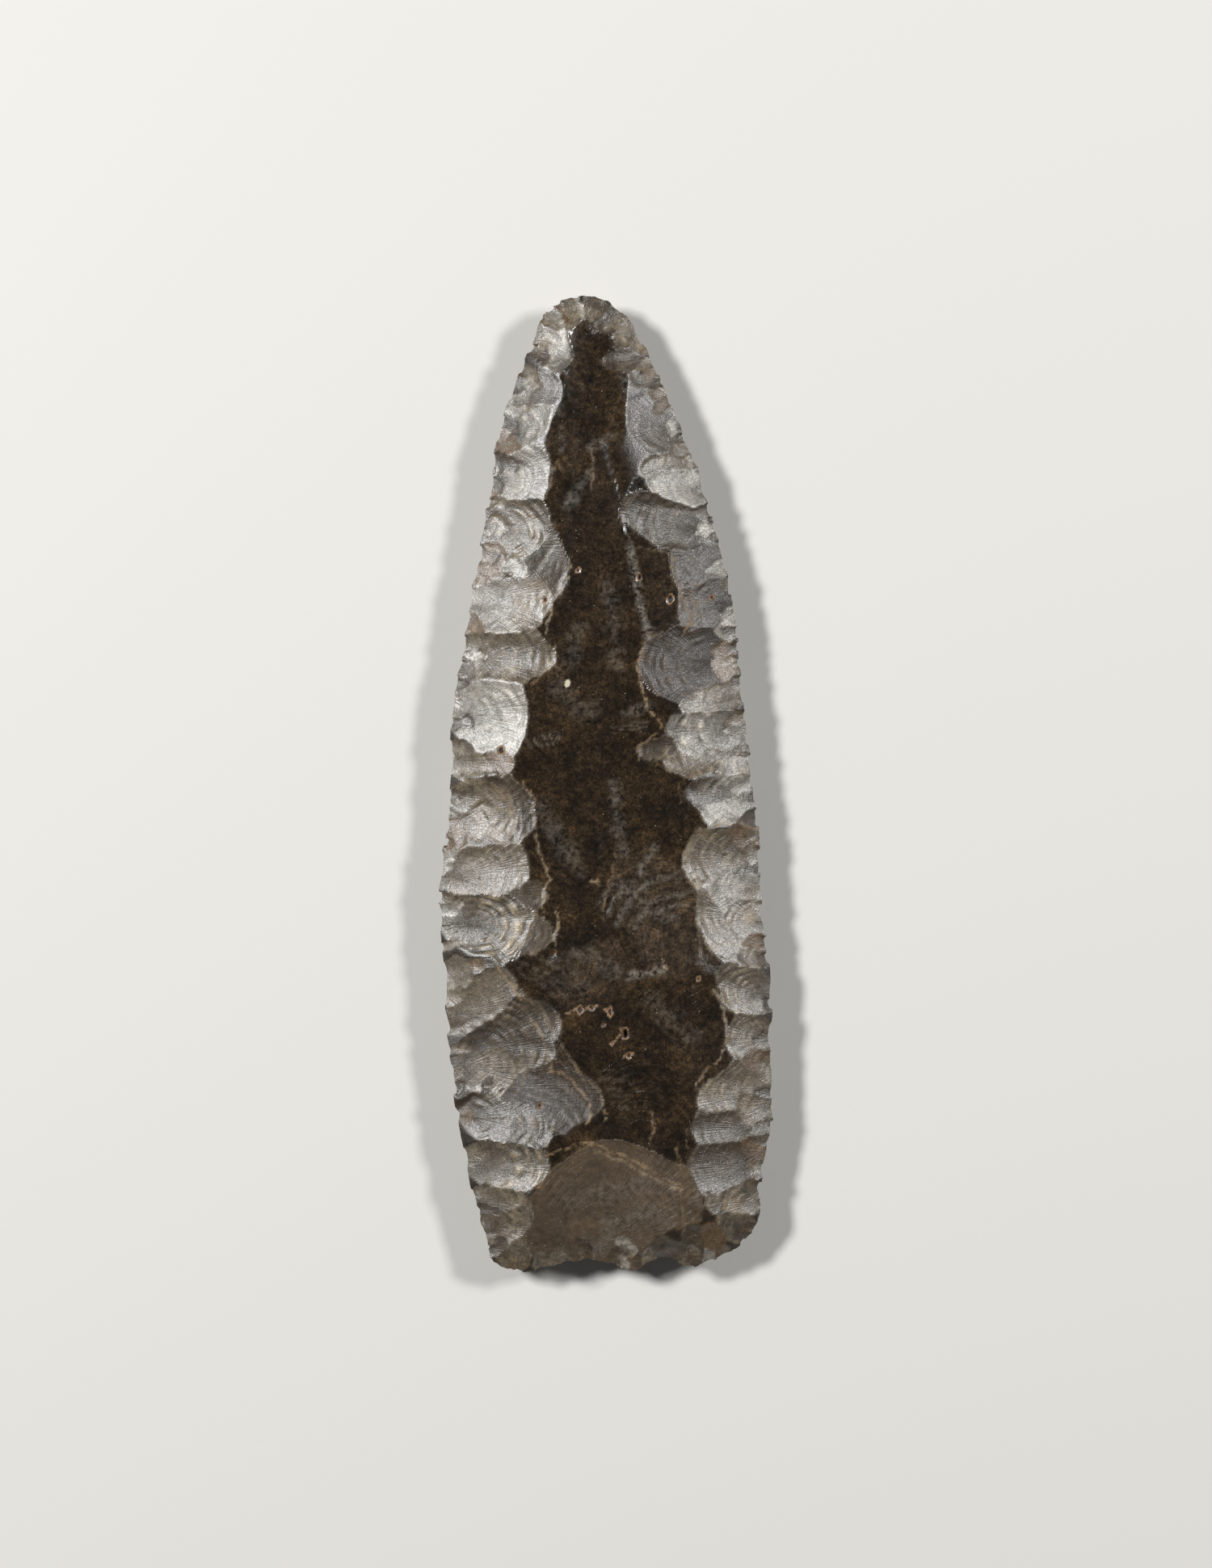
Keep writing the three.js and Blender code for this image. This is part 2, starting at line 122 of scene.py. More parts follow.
OLDER_LEFT_SHARES: list[Row] = [
    (-60, 75, -25, 70, 8, 0.8, 0.6, 1.2, "s"), (-85, 69, -34, 68.5, 7, 0.9, 0.8, 1.2, "g"),
    (-90, 46.5, -43, 46.5, 8.5, 1, 0.9, 1.4, "s"), (-92, 47, -54, 46.8, 7, 0.9, 0.8, 1.2, "g"),
    (-80, 39, -36, 38.5, 4, 0.8, 0.8, 1.1, "s"), (-75, 35, -29, 35, 4.5, 0.8, 0.8, 1.3, "s"),
    (-100, 23, -27, 25.5, 8, 0.4, 1.3, 0.6, "s"), (-95, 19.5, -2, 17.8, 8, 0.35, 0.3, 0.5, "d"),
    (-100, 22, -34, 23, 6.5, 0.4, 1.3, 0.6, "s"), (-75, 19.2, -10, 17, 5.2, 0.3, 0.2, 0.3, "d"),
    (-75, 15.8, -36, 14.3, 5, 0.4, 1, 0.6, "s"),
]
OLDER_RIGHT_SHARES: list[Row] = [
    (75, 75, 40, 71, 7, 0.8, 0.7, 1.3, "d"), (75, 68, 42, 67.5, 6, 0.8, 0.8, 1.3, "d"),
    (48, 89.5, 11, 88.5, 5.5, 0.5, 0.6, 0.3, "s"), (98, 36.5, 53, 36.5, 9, 0.9, 0.8, 1, "g"),
    (100, 42.5, 45, 42.3, 6.2, 0.9, 0.8, 1.1, "g"), (95, 49, 46, 48.7, 4, 0.9, 0.8, 0.9, "s"),
    (70, 54.5, 20, 53.3, 3.6, 0.8, 0.9, 1.1, "s"), (90, 54.5, 35, 52, 4.2, 0.9, 1, 0.9, "g"),
    (105, 18.5, 55, 18, 6.5, 0.54, 0.9, 1, "g"), (98, 15, 48, 14.6, 4, 0.54, 0.8, 0.9, "s"),
    (95, 7.8, 59, 8, 4.8, 0.54, 0.8, 1.1, "g"),
]
BASAL_SHARES: list[Row] = [(-12, -3, 6, 13.6, 15, 0.5, 0.2, 1, "e")]
YOUNGER_LEFT_SHARES: list[Row] = [
    (-56, 96, -20, 93.6, 4.6, 0.6, 0.9, 0.2, "b"), (-62, 90, -25, 90, 3.9, 0.5, 0.7, 0.1, "s"),
    (-70, 87.3, -33, 87, 3.6, 1, 1.2, 0.6, "b"), (-73, 86.3, -36, 86.2, 3.8, 1.1, 1.4, 0.6, "b"),
    (-80, 81, -33, 81, 6.6, 0.6, 0.7, 0.2, "b"), (-82, 76.5, -36, 75, 7.2, 1, 2, 0.6, "g"),
    (-92, 68, -45, 68, 6, 1, 0.7, 0.2, "b"), (-98, 63, -31, 62.5, 5.4, 1, 0.9, 1.1, "g"),
    (-104, 57.5, -47, 56.3, 8.2, 1, 0.9, 0.6, "b"), (-108, 40.5, -46, 41, 6.5, 1, 0.7, 0.9, "g"),
    (-100, 48.8, -72, 48.5, 3.3, 1, 0.6, 0.6, "g"), (-98, 45.8, -69, 45.6, 3.5, 1, 0.6, 0.8, "g"),
    (-110, 35.5, -41, 35.9, 6.8, 1.1, 2.4, 0.7, "g"), (-103, 25.3, -53, 30.2, 4.2, 0.35, 0.4, 0.5, "g"),
    (-100, 21.2, -51, 20.7, 4.8, 0.6, 0.8, 0.6, "g"), (-98, 16, -56, 15.8, 5.1, 0.5, 1.5, 0.7, "s"),
    (-95, 10.8, -34, 11.2, 5.1, 0.5, 1.7, 0.7, "g"), (-84, 4.2, -44, 5.4, 4.6, 0.48, 0.9, 0.8, "g"),
    (-88, 7.3, -50, 7.6, 2.6, 0.48, 0.7, 0.8, "g"),
]
YOUNGER_RIGHT_SHARES: list[Row] = [
    (55, 86.5, 12, 86.2, 6, 0.5, 0.9, 0.2, "s"), (62, 83.7, 21, 81.6, 3.2, 1, 0.8, 0.8, "g"),
    (68, 80.3, 26, 79.8, 4.8, 1.1, 0.5, 0.7, "b"), (76, 75.5, 9, 77.2, 5.2, 1, 1.1, 0.9, "s"),
    (80, 72.8, 51, 72.6, 2.6, 1, 0.7, 0.8, "d"), (84, 68.6, 48, 68.4, 5.6, 1, 1, 0.8, "d"),
    (90, 62.8, 19, 61.5, 8.4, 0.6, 1.5, 1.1, "d"), (90, 59.2, 45, 57.9, 3.4, 1, 1, 0.8, "g"),
    (94, 56.3, 36, 54.5, 4.6, 1, 1.6, 0.8, "b"), (99, 48.8, 57, 48.5, 5.4, 1.1, 0.5, 0.8, "b"),
    (98, 42, 65, 41.8, 2.8, 1, 1, 0.8, "g"), (99, 39.5, 61, 39, 4.2, 1.1, 0.7, 0.8, "b"),
    (105, 28.5, 66, 28.9, 5.4, 0.65, 1.2, 0.9, "g"), (106, 24, 71, 24, 5, 0.65, 0.7, 0.8, "g"),
    (100, 11, 47, 11.3, 5.2, 0.65, 0.4, 0.7, "s"),
]
RETOUCH_SHARES: list[Row] = [
    (16, -0.2, 10, 3.3, 2.2, 1.2, 0.5, 0.6, "b"), (38, 0, 34, 3.8, 3.6, 1.1, 0.5, 0.8, "s"),
    (58, 0, 50, 4.6, 2.6, 1, 0.5, 0.6, "s"), (72, 1, 60, 5, 2.6, 1, 0.5, 0.6, "n"),
    (-58, -1, -52, 3.4, 2.4, 0.8, 0.5, 0.6, "g"), (-50, 95.2, -34, 95.2, 1.9, 1, 0.5, 0.6, "n"),
    (-46, 96.7, -38, 96.7, 1.3, 1, 0.3, 0.5, "b"), (-41, 98.5, -26, 96.5, 2.1, 0.9, 0.7, 0.6, "g"),
    (-26, 100.2, -18, 96.7, 2.4, 0.9, 0.6, 0.8, "g"), (-61, 88.2, -49, 88.1, 1.6, 1, 0.4, 0.5, "g"),
    (-67, 84.7, -52, 85, 2.3, 1, 0.4, 0.7, "n"), (-71, 82.6, -49, 82.8, 1.7, 1, 0.4, 0.6, "s"),
    (-74, 79.3, -65, 79.4, 1.8, 1, 0.4, 0.6, "n"), (-77, 76, -62, 76.5, 3.2, 1, 0.8, 0.5, "g"),
    (-83, 72.5, -60, 73, 3.7, 1.1, 0.4, 0.8, "n"), (-64, 71.9, -49, 72.4, 2.2, 1, 0.4, 0.6, "b"),
    (-87, 66.3, -74, 66, 2.4, 1, 0.4, 0.6, "n"), (-89, 64, -73, 64, 2.8, 1, 0.5, 0.5, "g"),
    (-93, 61.4, -74, 61.7, 2.3, 1, 0.5, 0.5, "g"), (-96, 58.6, -88, 58.6, 2.2, 0.5, 0.4, 0.3, "b"),
    (-98, 52.3, -67, 51.8, 2.8, 1, 0.5, 0.7, "g"), (-74, 52.6, -56, 52.2, 2.3, 1, 0.5, 0.8, "n"),
    (-102, 45, -85, 44.8, 3.7, 0.9, 0.4, 0.6, "n"), (-103, 42.3, -90.5, 42.5, 2, 0.8, 0.3, 0.5, "b"),
    (-100, 31, -72, 31.6, 2, 1.1, 0.4, 0.6, "g"), (-102, 29, -85, 29.3, 2.5, 1.1, 0.4, 0.6, "b"),
    (-4, 101.2, -6, 97.6, 2.6, 0.9, 0.6, 0.6, "g"), (15, 98.9, -6, 96.3, 3.2, 0.9, 1, 0.6, "s"),
    (20, 96.4, 2, 95.2, 2.8, 1, 1.2, 0.6, "g"), (27, 94, 18, 93.9, 2.6, 1, 0.4, 0.6, "n"),
    (24, 93.6, -3, 92.9, 2.4, 0.8, 0.7, 0.6, "s"), (33, 91.9, 21, 91.8, 1.9, 1, 0.4, 0.6, "n"),
    (30, 91.2, 13, 91.4, 1.8, 1, 0.4, 0.6, "s"), (40, 89.4, 29, 89.9, 1.8, 1, 0.4, 0.6, "n"),
    (46, 86.9, 38, 86.9, 3.4, 1, 0.4, 0.5, "b"), (80, 66.8, 68, 66.2, 1.9, 1.1, 0.4, 0.6, "b"),
    (80, 65.2, 66, 65.3, 1.3, 1.1, 0.4, 0.6, "b"), (82, 62.5, 63, 62.5, 3.6, 1, 0.4, 0.6, "n"),
    (86, 52, 70, 51.8, 2, 1.1, 0.4, 0.6, "b"), (91, 51.3, 83, 51.3, 2.8, 1, 0.4, 0.6, "b"),
    (95, 44.7, 74, 44.5, 3.1, 1, 0.4, 0.6, "n"), (98, 36, 72, 35.6, 5, 1, 0.6, 0.7, "g"),
    (99, 32.4, 79, 32.5, 2.5, 1, 0.5, 0.6, "g"), (100, 21.6, 83, 21.5, 3.2, 1, 0.4, 0.6, "n"),
    (101, 20.2, 89, 20.2, 1.7, 1.3, 0.3, 0.5, "g"), (100, 18.8, 81, 19, 3, 1, 0.5, 0.6, "g"),
    (101, 16.8, 77, 16.8, 4.2, 1, 0.5, 0.7, "g"), (104, 15, 89, 14, 2.4, 1.1, 0.3, 0.5, "b"),
    (99, 12.4, 82, 12.8, 3.1, 1, 0.4, 0.6, "n"), (97, 7.4, 68, 7.2, 3.8, 1, 0.6, 1, "g"),
    (94, 4.3, 67, 5, 3, 1, 0.5, 0.8, "g"),
]
REVERSE_END_SHARES: list[Row] = [
    (-34, -1.5, -26, 12, 8, 0.6, 0.8, 0.6, "s"), (36, -1.5, 26, 12, 8, 0.6, 0.8, 0.6, "s"),
    (2, -1.5, 0, 9, 6, 0.8, 0.8, 0.6, "g"), (-62, -1.5, -50, 7, 5, 0.7, 0.8, 0.6, "g"),
    (72, -1, 56, 8, 5, 0.7, 0.8, 0.6, "g"), (-14, 101, -12, 91, 3.6, 0.8, 0.8, 0.6, "s"),
    (6, 100.2, -2, 95, 3, 0.8, 0.8, 0.6, "g"), (-36, 99.8, -20, 95, 3, 0.8, 0.8, 0.6, "g"),
]

# Vugs and pits of the obverse: place in percent shares, half length and half breadth and depth in millimetres.
PIT_SHARES: list[Row] = [
    (11, 24.6, 1.0, 0.55, 0.9), (-16, 27, 0.9, 0.4, 0.35), (-9, 27.2, 0.6, 0.4, 0.4), (2, 26.9, 1.0, 0.35, 0.35),
    (-2, 25.5, 0.4, 0.35, 0.3), (13.5, 22.4, 0.7, 0.45, 0.4), (3, 23.6, 0.35, 0.3, 0.25), (-40, 17.2, 0.5, 0.5, 0.35),
    (-17, 71.7, 0.5, 0.4, 0.3), (19.5, 71, 0.6, 0.5, 0.5), (38, 68.8, 0.8, 0.6, 0.5), (63, 69, 0.5, 0.4, 0.3),
    (-37, 68.7, 0.6, 0.4, 0.35), (55, 30.2, 0.5, 0.35, 0.25), (35, 31.5, 0.4, 0.3, 0.25), (-63, 53.4, 0.7, 0.5, 0.5),
]

# Crests where scars end in a step. A row holds the step's depth in millimetres and how much silt it holds, and then
# its course in percent shares. Its foot is on the right hand of the course, or on the left for a depth below 0.
CREST_SHARES: list[Row] = [
    (0.08, 0.3, (-33, 73.8), (-40, 72)), (0.1, 0.7, (-27, 70.6), (-31, 69), (-34.5, 67), (-36, 65.3)),
    (0.1, 0.4, (-31, 64), (-31.5, 62.8), (-34, 62), (-45, 60)),
    (0.05, 0.1, (-63, 59.5), (-55, 58), (-47, 56.2), (-53, 54)),
    (0.08, 0.5, (-68, 50), (-62, 48.5)), (0.1, 0.4, (-57, 48), (-57, 46.7), (-53, 44)),
    (0.12, 0.6, (-50, 50.2), (-43.5, 48.5), (-43, 45), (-40, 43), (-35, 41), (-33, 40.3), (-37, 39.8), (-38, 37)),
    (0.1, 0.7, (-31, 37), (-29, 36), (-31, 34), (-31, 32.8)),
    (0.09, 1, (-67, 31.8), (-62, 30.5), (-55, 29.3), (-51, 28.2)),
    (0.07, 0.4, (-51, 28.4), (-43, 27.5), (-37, 26.9), (-34, 25.6), (-30, 24.3), (-20, 21.7), (-13, 20), (-4, 18.8)),
    (0.08, 0.8, (-4, 18.8), (-2.5, 17.5), (-1, 15.8)),
    (0.07, 0.7, (-45, 26), (-40, 25), (-37, 23.5), (-34.5, 22), (-33, 20.8)),
    (0.08, 0.4, (-49, 21), (-50, 19.5), (-55, 18.3)),
    (0.07, 0.8, (-33, 20.8), (-27, 20.5), (-22, 20), (-17, 19), (-12, 18.2), (-9.5, 17.6), (-10, 16.5), (-12, 15.4)),
    (0.03, 0.1, (-50, 21), (-42, 20.9), (-33, 20.8)),
    (0, 0.9, (-24, 26.7), (-17, 27)), (0, 1.2, (-13, 27.1), (-6, 27.4)), (0, 1.2, (-1, 27), (4, 26.6)),
    (0, 1.2, (10, 22.3), (15, 22.6)), (0, 1, (8.5, 25.2), (8, 24.4), (3, 23.5)), (0, 1.1, (33, 32), (36, 31.2)),
    (0, 0.6, (-8, 12.8), (10, 11.5), (30, 9.7), (44, 8.7)), (0, 0.8, (-9, 40), (-5, 40.2), (-4, 39.8)),
    (0.09, 0.8, (-33, 15.3), (-35, 13.3), (-36, 12.7)),
    (0.09, 0.8, (-37, 12.3), (-20, 13.2), (-13, 13.6), (-5, 13.2), (10, 12.1), (20, 11.4), (30, 10.2), (45, 9.1)),
    (-0.05, 0.3, (45, 9), (45, 6), (47, 4)), (0.05, 0.1, (-10, 90.6), (0, 91.3), (15, 91.6)),
    (-0.08, 0.2, (13, 79), (9, 77), (10, 75.8), (14, 74.8)), (-0.07, 0.2, (25, 78.3), (20, 77), (19, 75.8)),
    (-0.07, 0.3, (20, 74), (35, 73.6), (40, 72.9)),
    (-0.13, 0.9, (40.5, 73), (41.5, 71), (45, 68.7), (50, 67), (51.5, 66.5), (45, 65.2)),
    (-0.13, 0.8, (22, 64.2), (18.5, 62), (20, 60), (25, 57.5), (33, 56)),
    (-0.09, 0.5, (33, 56), (30, 55.2), (25, 54.4), (20, 54), (20, 52.5)),
    (-0.07, 0.4, (40, 54), (35, 53.2), (30, 52)),
    (-0.09, 0.8, (60, 45.5), (77, 46.2), (90, 45.3)), (-0.08, 0.3, (43, 50), (44.5, 49), (44, 48)),
    (-0.09, 0.4, (61, 45), (55, 44.8), (50, 44), (46.5, 42.8), (45.5, 42)),
    (-0.08, 0.3, (50, 42.4), (48, 41), (47.5, 40.1)),
    (-0.09, 0.3, (55, 41), (54, 37), (56, 33)),
    (-0.12, 0.6, (64, 29), (70, 27), (72.5, 25), (71, 23.5), (68, 22), (63, 21.3), (57, 20.5), (54, 19.5)),
    (-0.08, 0.3, (82, 18.5), (78, 17), (77.5, 15)), (-0.08, 0.5, (23, 17.2), (27, 16.5), (28, 14.5), (26, 13.5)),
    (-0.08, 0.4, (48, 14.8), (48, 13)), (-0.08, 0.4, (41, 12.8), (45, 11)), (-0.09, 0.9, (72, 8), (68, 6), (67, 5)),
    (-0.1, 0.4, (7, 43.3), (4, 42), (1, 39.5), (-1, 38), (-3, 36.2)),
    (0.05, 0, (-52, 52), (-43, 53.3), (-30, 54.1), (20, 54)), (-0.09, 0.1, (-85, 70.9), (-60, 70.9)),
    (-0.09, 0.1, (20, 77.9), (63, 77.6)), (0.09, 0.1, (43, 56.7), (60, 57.3), (75, 57.4)),
    (0.09, 0.2, (-65, 79.2), (-50, 78.2), (-40, 77)), (0.09, 0.1, (-82, 36.5), (-68, 38.8), (-58, 39.3), (-45, 38.5)),
    (-0.09, 0.2, (-94, 24.6), (-62, 26.6), (-52, 28.2)), (-0.09, 0.2, (-79, 8.2), (-65, 9), (-45, 9.8)),
    (0.02, 0, (-23.5, 60.1), (-21, 60.5)), (0.07, 0.3, (-9, 84), (-8, 83), (-9, 80)),
    (0.07, 0.3, (-26, 81.8), (-30, 83), (-33, 80.5)),
]

# Pale clouds and veins in the dark flint: course in percent shares, half breadth in millimetres, and strength. The
# first row and the two rows from (14, 74.5) are painted highlights, where ridges of older scars catch the light.
VEIN_SHARES: list[Row] = [
    (-24, 78.5, -10, 81.5, 1.3, 0.5), (3, 50, 10, 43.5, 1.5, 0.45), (-10, 84.3, 5, 85.5, 1.2, 0.3),
    (20, 41, 28, 43.5, 1, 0.6), (15, 30.6, 30, 31, 1.1, 1), (-24, 60.05, -23.4, 60.4, 0.55, 3),
    (14, 74.5, 18, 70, 0.9, 0.8), (18, 70, 25, 65, 0.9, 0.8),
    (-40, 47, -20, 42, 2.6, 0.25), (-28, 60, -10, 57, 2.4, 0.25), (0, 70, 8, 62, 2, 0.22),
    (-15, 66, -25, 62, 2, 0.22),
    (10, 57, 25, 58, 1.2, 0.4), (30, 28, 50, 24, 2.4, 0.25), (-20, 33, 5, 31, 2, 0.25), (5, 40, 40, 36, 1.6, 0.3),
    (-30, 90, -26, 84, 1.2, 0.3), (8, 94, 12, 90, 1.4, 0.3), (-20, 8, 20, 9, 2.5, 0.25), (0, 5, 30, 6.5, 1.8, 0.3),
]

# Shock waves of older blows that show across several scars. A row holds the source of the waves and the two ends of
# the strip where they show, in percent shares, then the strip's half breadth, the waves' spacing and height, all in
# millimetres, and how pale their crests are painted: a painted highlight where the waves catch the light.
WAVE_SHARES: list[Row] = [
    (47, 33.5, 10, 38, 38, 38.5, 4.6, 2.1, 0.1, 0.5), (-49, 12.3, -38, 18.4, -21, 16.8, 3.3, 1.7, 0.08, 0.35),
    (-235, 0, -38, 25.2, -8, 18.3, 1.5, 0.85, 0.07, 0.3), (-8, -3, -20, 7, 25, 6, 6, 1.4, 0.012, 0.14),
    (-60, 24, -45, 31.5, -20, 29.5, 3, 1.1, 0.03, 0.25),
    (75, 6.5, 58, 7.6, 66, 7.2, 2, 0.9, 0.06, 0.15), (0, -400, 5, 55.6, 22, 56, 1, 0.6, 0.05, 0.35),
    (-75, 52, -43, 54.2, -33, 54.6, 1.3, 0.8, 0.05, 0.5), (-5, 12, 5, 20, 12, 18, 2.5, 1.2, 0.03, 0.2),
]

# Stains of iron in the crust: place in percent shares, half breadth and half length in millimetres, and strength.
STAIN_SHARES: list[Row] = [
    (-88, 45, 1.4, 2.6, 0.6), (-84, 16, 1.3, 2.2, 0.5), (-88, 22.3, 1, 1.6, 0.5), (-90, 39, 2, 2.2, 0.35),
    (-79, 31.6, 1.5, 0.7, 0.6), (86, 39, 1.8, 1.8, 0.55), (83, 44.3, 1.4, 2.4, 0.55), (87, 36.5, 1, 1.8, 0.6),
    (88, 10, 1.3, 2.6, 0.6), (74, 62, 1.5, 2.6, 0.5), (-75, 72.8, 2, 2.2, 0.45), (-56, 84.5, 1.2, 1.8, 0.5),
    (-39, 95, 1.3, 1.5, 0.6), (26, 91.8, 1, 0.9, 0.6), (20, 94.5, 1, 2, 0.4), (60, 68.5, 1.6, 0.7, 0.5),
    (87, 22.5, 1, 2.4, 0.45), (85, 17, 1.4, 2.4, 0.3), (79, 7, 2, 1.8, 0.5), (83, 4.6, 1.6, 1.2, 0.45),
    (-54, 1.2, 3, 1.1, 0.3), (48, 1.5, 3.4, 1.2, 0.2), (-5, 1.7, 3.4, 0.9, 0.3), (-40, 9.2, 0.8, 1.4, 0.8),
    (-10, 5, 4, 0.9, 0.3), (-62, 5, 2, 2.5, 0.25), (40, 92.5, 0.8, 1.4, 0.4), (-78, 66, 1.5, 1.6, 0.4),
    (-70, 82, 1.6, 1.6, 0.4), (90, 13, 1, 1.2, 0.4), (-95, 34, 1, 2.5, 0.3), (80, 57, 1, 1.6, 0.3),
]


def smooth_step(low: float, high: float, value: Floats) -> Floats:
    """Climbs smoothly from 0 to 1.

    Args:
        low: Value at which the climb starts.
        high: Value at which it ends.
        value: Values to map.

    Returns:
        The share of the climb at each value.
    """
    share = np.clip((value - low) / (high - low), 0.0, 1.0)
    return share * share * (3.0 - 2.0 * share)


def wander(x: Floats, y: Floats, phase: float) -> Floats:
    """An even irregularity of the plane, as broken stone has it, between about -1 and 1.

    Args:
        x: Places in plan, in millimetres.
        y: Places in plan, in millimetres.
        phase: Shifts the pattern, so that scars differ.

    Returns:
        The irregularity at each place.
    """
    long_waves = 0.42 * np.sin(0.9 * x + 0.5 * y + phase) + 0.3 * np.sin(1.3 * y - 0.6 * x + 1.7 * phase)
    short_waves = 0.2 * np.sin(2.6 * x + 1.9 * y + 2.3 * phase) + 0.14 * np.sin(4.1 * x - 3.7 * y + 3.1 * phase)
    return long_waves + short_waves


@dataclass(frozen=True)
class ToneLook:
    """How one tone looks: its sRGB colour, how frosted its surface is, and how finely rippled."""

    colour: str
    frost: float
    grain: float


@dataclass(frozen=True)
class Blank:
    """The blank that the stone was struck from: its sizes in millimetres, and the shares that shape it."""

    length: float = 150.0
    width: float = 51.0
    obverse_rise: float = 5.4
    reverse_rise: float = 5.1
    margin_width: float = 13.5
    edge_allowance: float = 0.35
    rest_panel_length: float = 70.0
    rest_panel_width: float = 13.0
    crown_share: float = 2.1
    steps_per_point: int = 5

    def place(self, x_share: float, y_share: float) -> Floats:
        """A place given in percent shares, as a point in millimetres."""
        return np.array([x_share * PERCENT * self.width / 2.0, y_share * PERCENT * self.length])


class Outline:
    """The closed outline of the blank."""

    def __init__(self, blank: Blank) -> None:
        """Lays a smooth curve through the outline's places, grown by the rim that flaking takes off.

        Args:
            blank: Sizes of the blank.
        """
        corners = np.array([blank.place(*row) for row in OUTLINE_SHARES])
        along = np.roll(corners, -1, axis=0) - np.roll(corners, 1, axis=0)
        along /= np.linalg.norm(along, axis=1)[:, None]
        grown = corners + blank.edge_allowance * np.column_stack([along[:, 1], -along[:, 0]])
        after, later = np.roll(grown, -1, axis=0), np.roll(grown, -2, axis=0)
        pull = (after - np.roll(grown, 1, axis=0)) / 2.0
        next_pull = (later - grown) / 2.0
        points = []
        for step in range(blank.steps_per_point):
            t = step / blank.steps_per_point
            points.append(
                (2 * t**3 - 3 * t**2 + 1) * grown
                + (t**3 - 2 * t**2 + t) * pull
                + (3 * t**2 - 2 * t**3) * after
                + (t**3 - t**2) * next_pull
            )
        self.points = np.stack(points, axis=1).reshape(-1, 2)
        self.ends = np.roll(self.points, -1, axis=0)

    def distance_inside(self, x: Floats, y: Floats) -> Floats:
        """Distance from places in plan to the outline.

        Args:
            x: Places in plan, in millimetres.
            y: Places in plan, in millimetres.

        Returns:
            The distances, positive inside the outline.
        """
        x, y = np.atleast_1d(x).astype(float), np.atleast_1d(y).astype(float)
        result = np.empty(x.shape)
        ax, ay = self.points.T
        dx, dy = (self.ends - self.points).T
        chunk = 4096
        for low in range(0, len(x), chunk):
            px, py = x[low : low + chunk, None], y[low : low + chunk, None]
            share = np.clip(((px - ax) * dx + (py - ay) * dy) / (dx * dx + dy * dy), 0.0, 1.0)
            nearest = np.hypot(px - ax - share * dx, py - ay - share * dy).min(axis=1)
            crosses = (ay > py) != (ay + dy > py)
            with np.errstate(divide="ignore", invalid="ignore"):
                before = px < ax + dx * (py - ay) / dy
            inside = (crosses & before).sum(axis=1) % 2 == 1
            result[low : low + chunk] = np.where(inside, nearest, -nearest)
        return result

    def margin_at(self, y: float, side: int) -> float:
        """The x of the margin at a height of the outline.

        Args:
            y: Height along the length, in millimetres.
            side: 1 for the right margin and -1 for the left one.

        Returns:
            The outermost crossing on that side.
        """
        (ax, ay), (bx, by) = self.points.T, self.ends.T
        crosses = (ay > y) != (by > y)
        crossings = ax[crosses] + (bx - ax)[crosses] * (y - ay[crosses]) / (by - ay)[crosses]
        return float(side * (side * crossings).max())


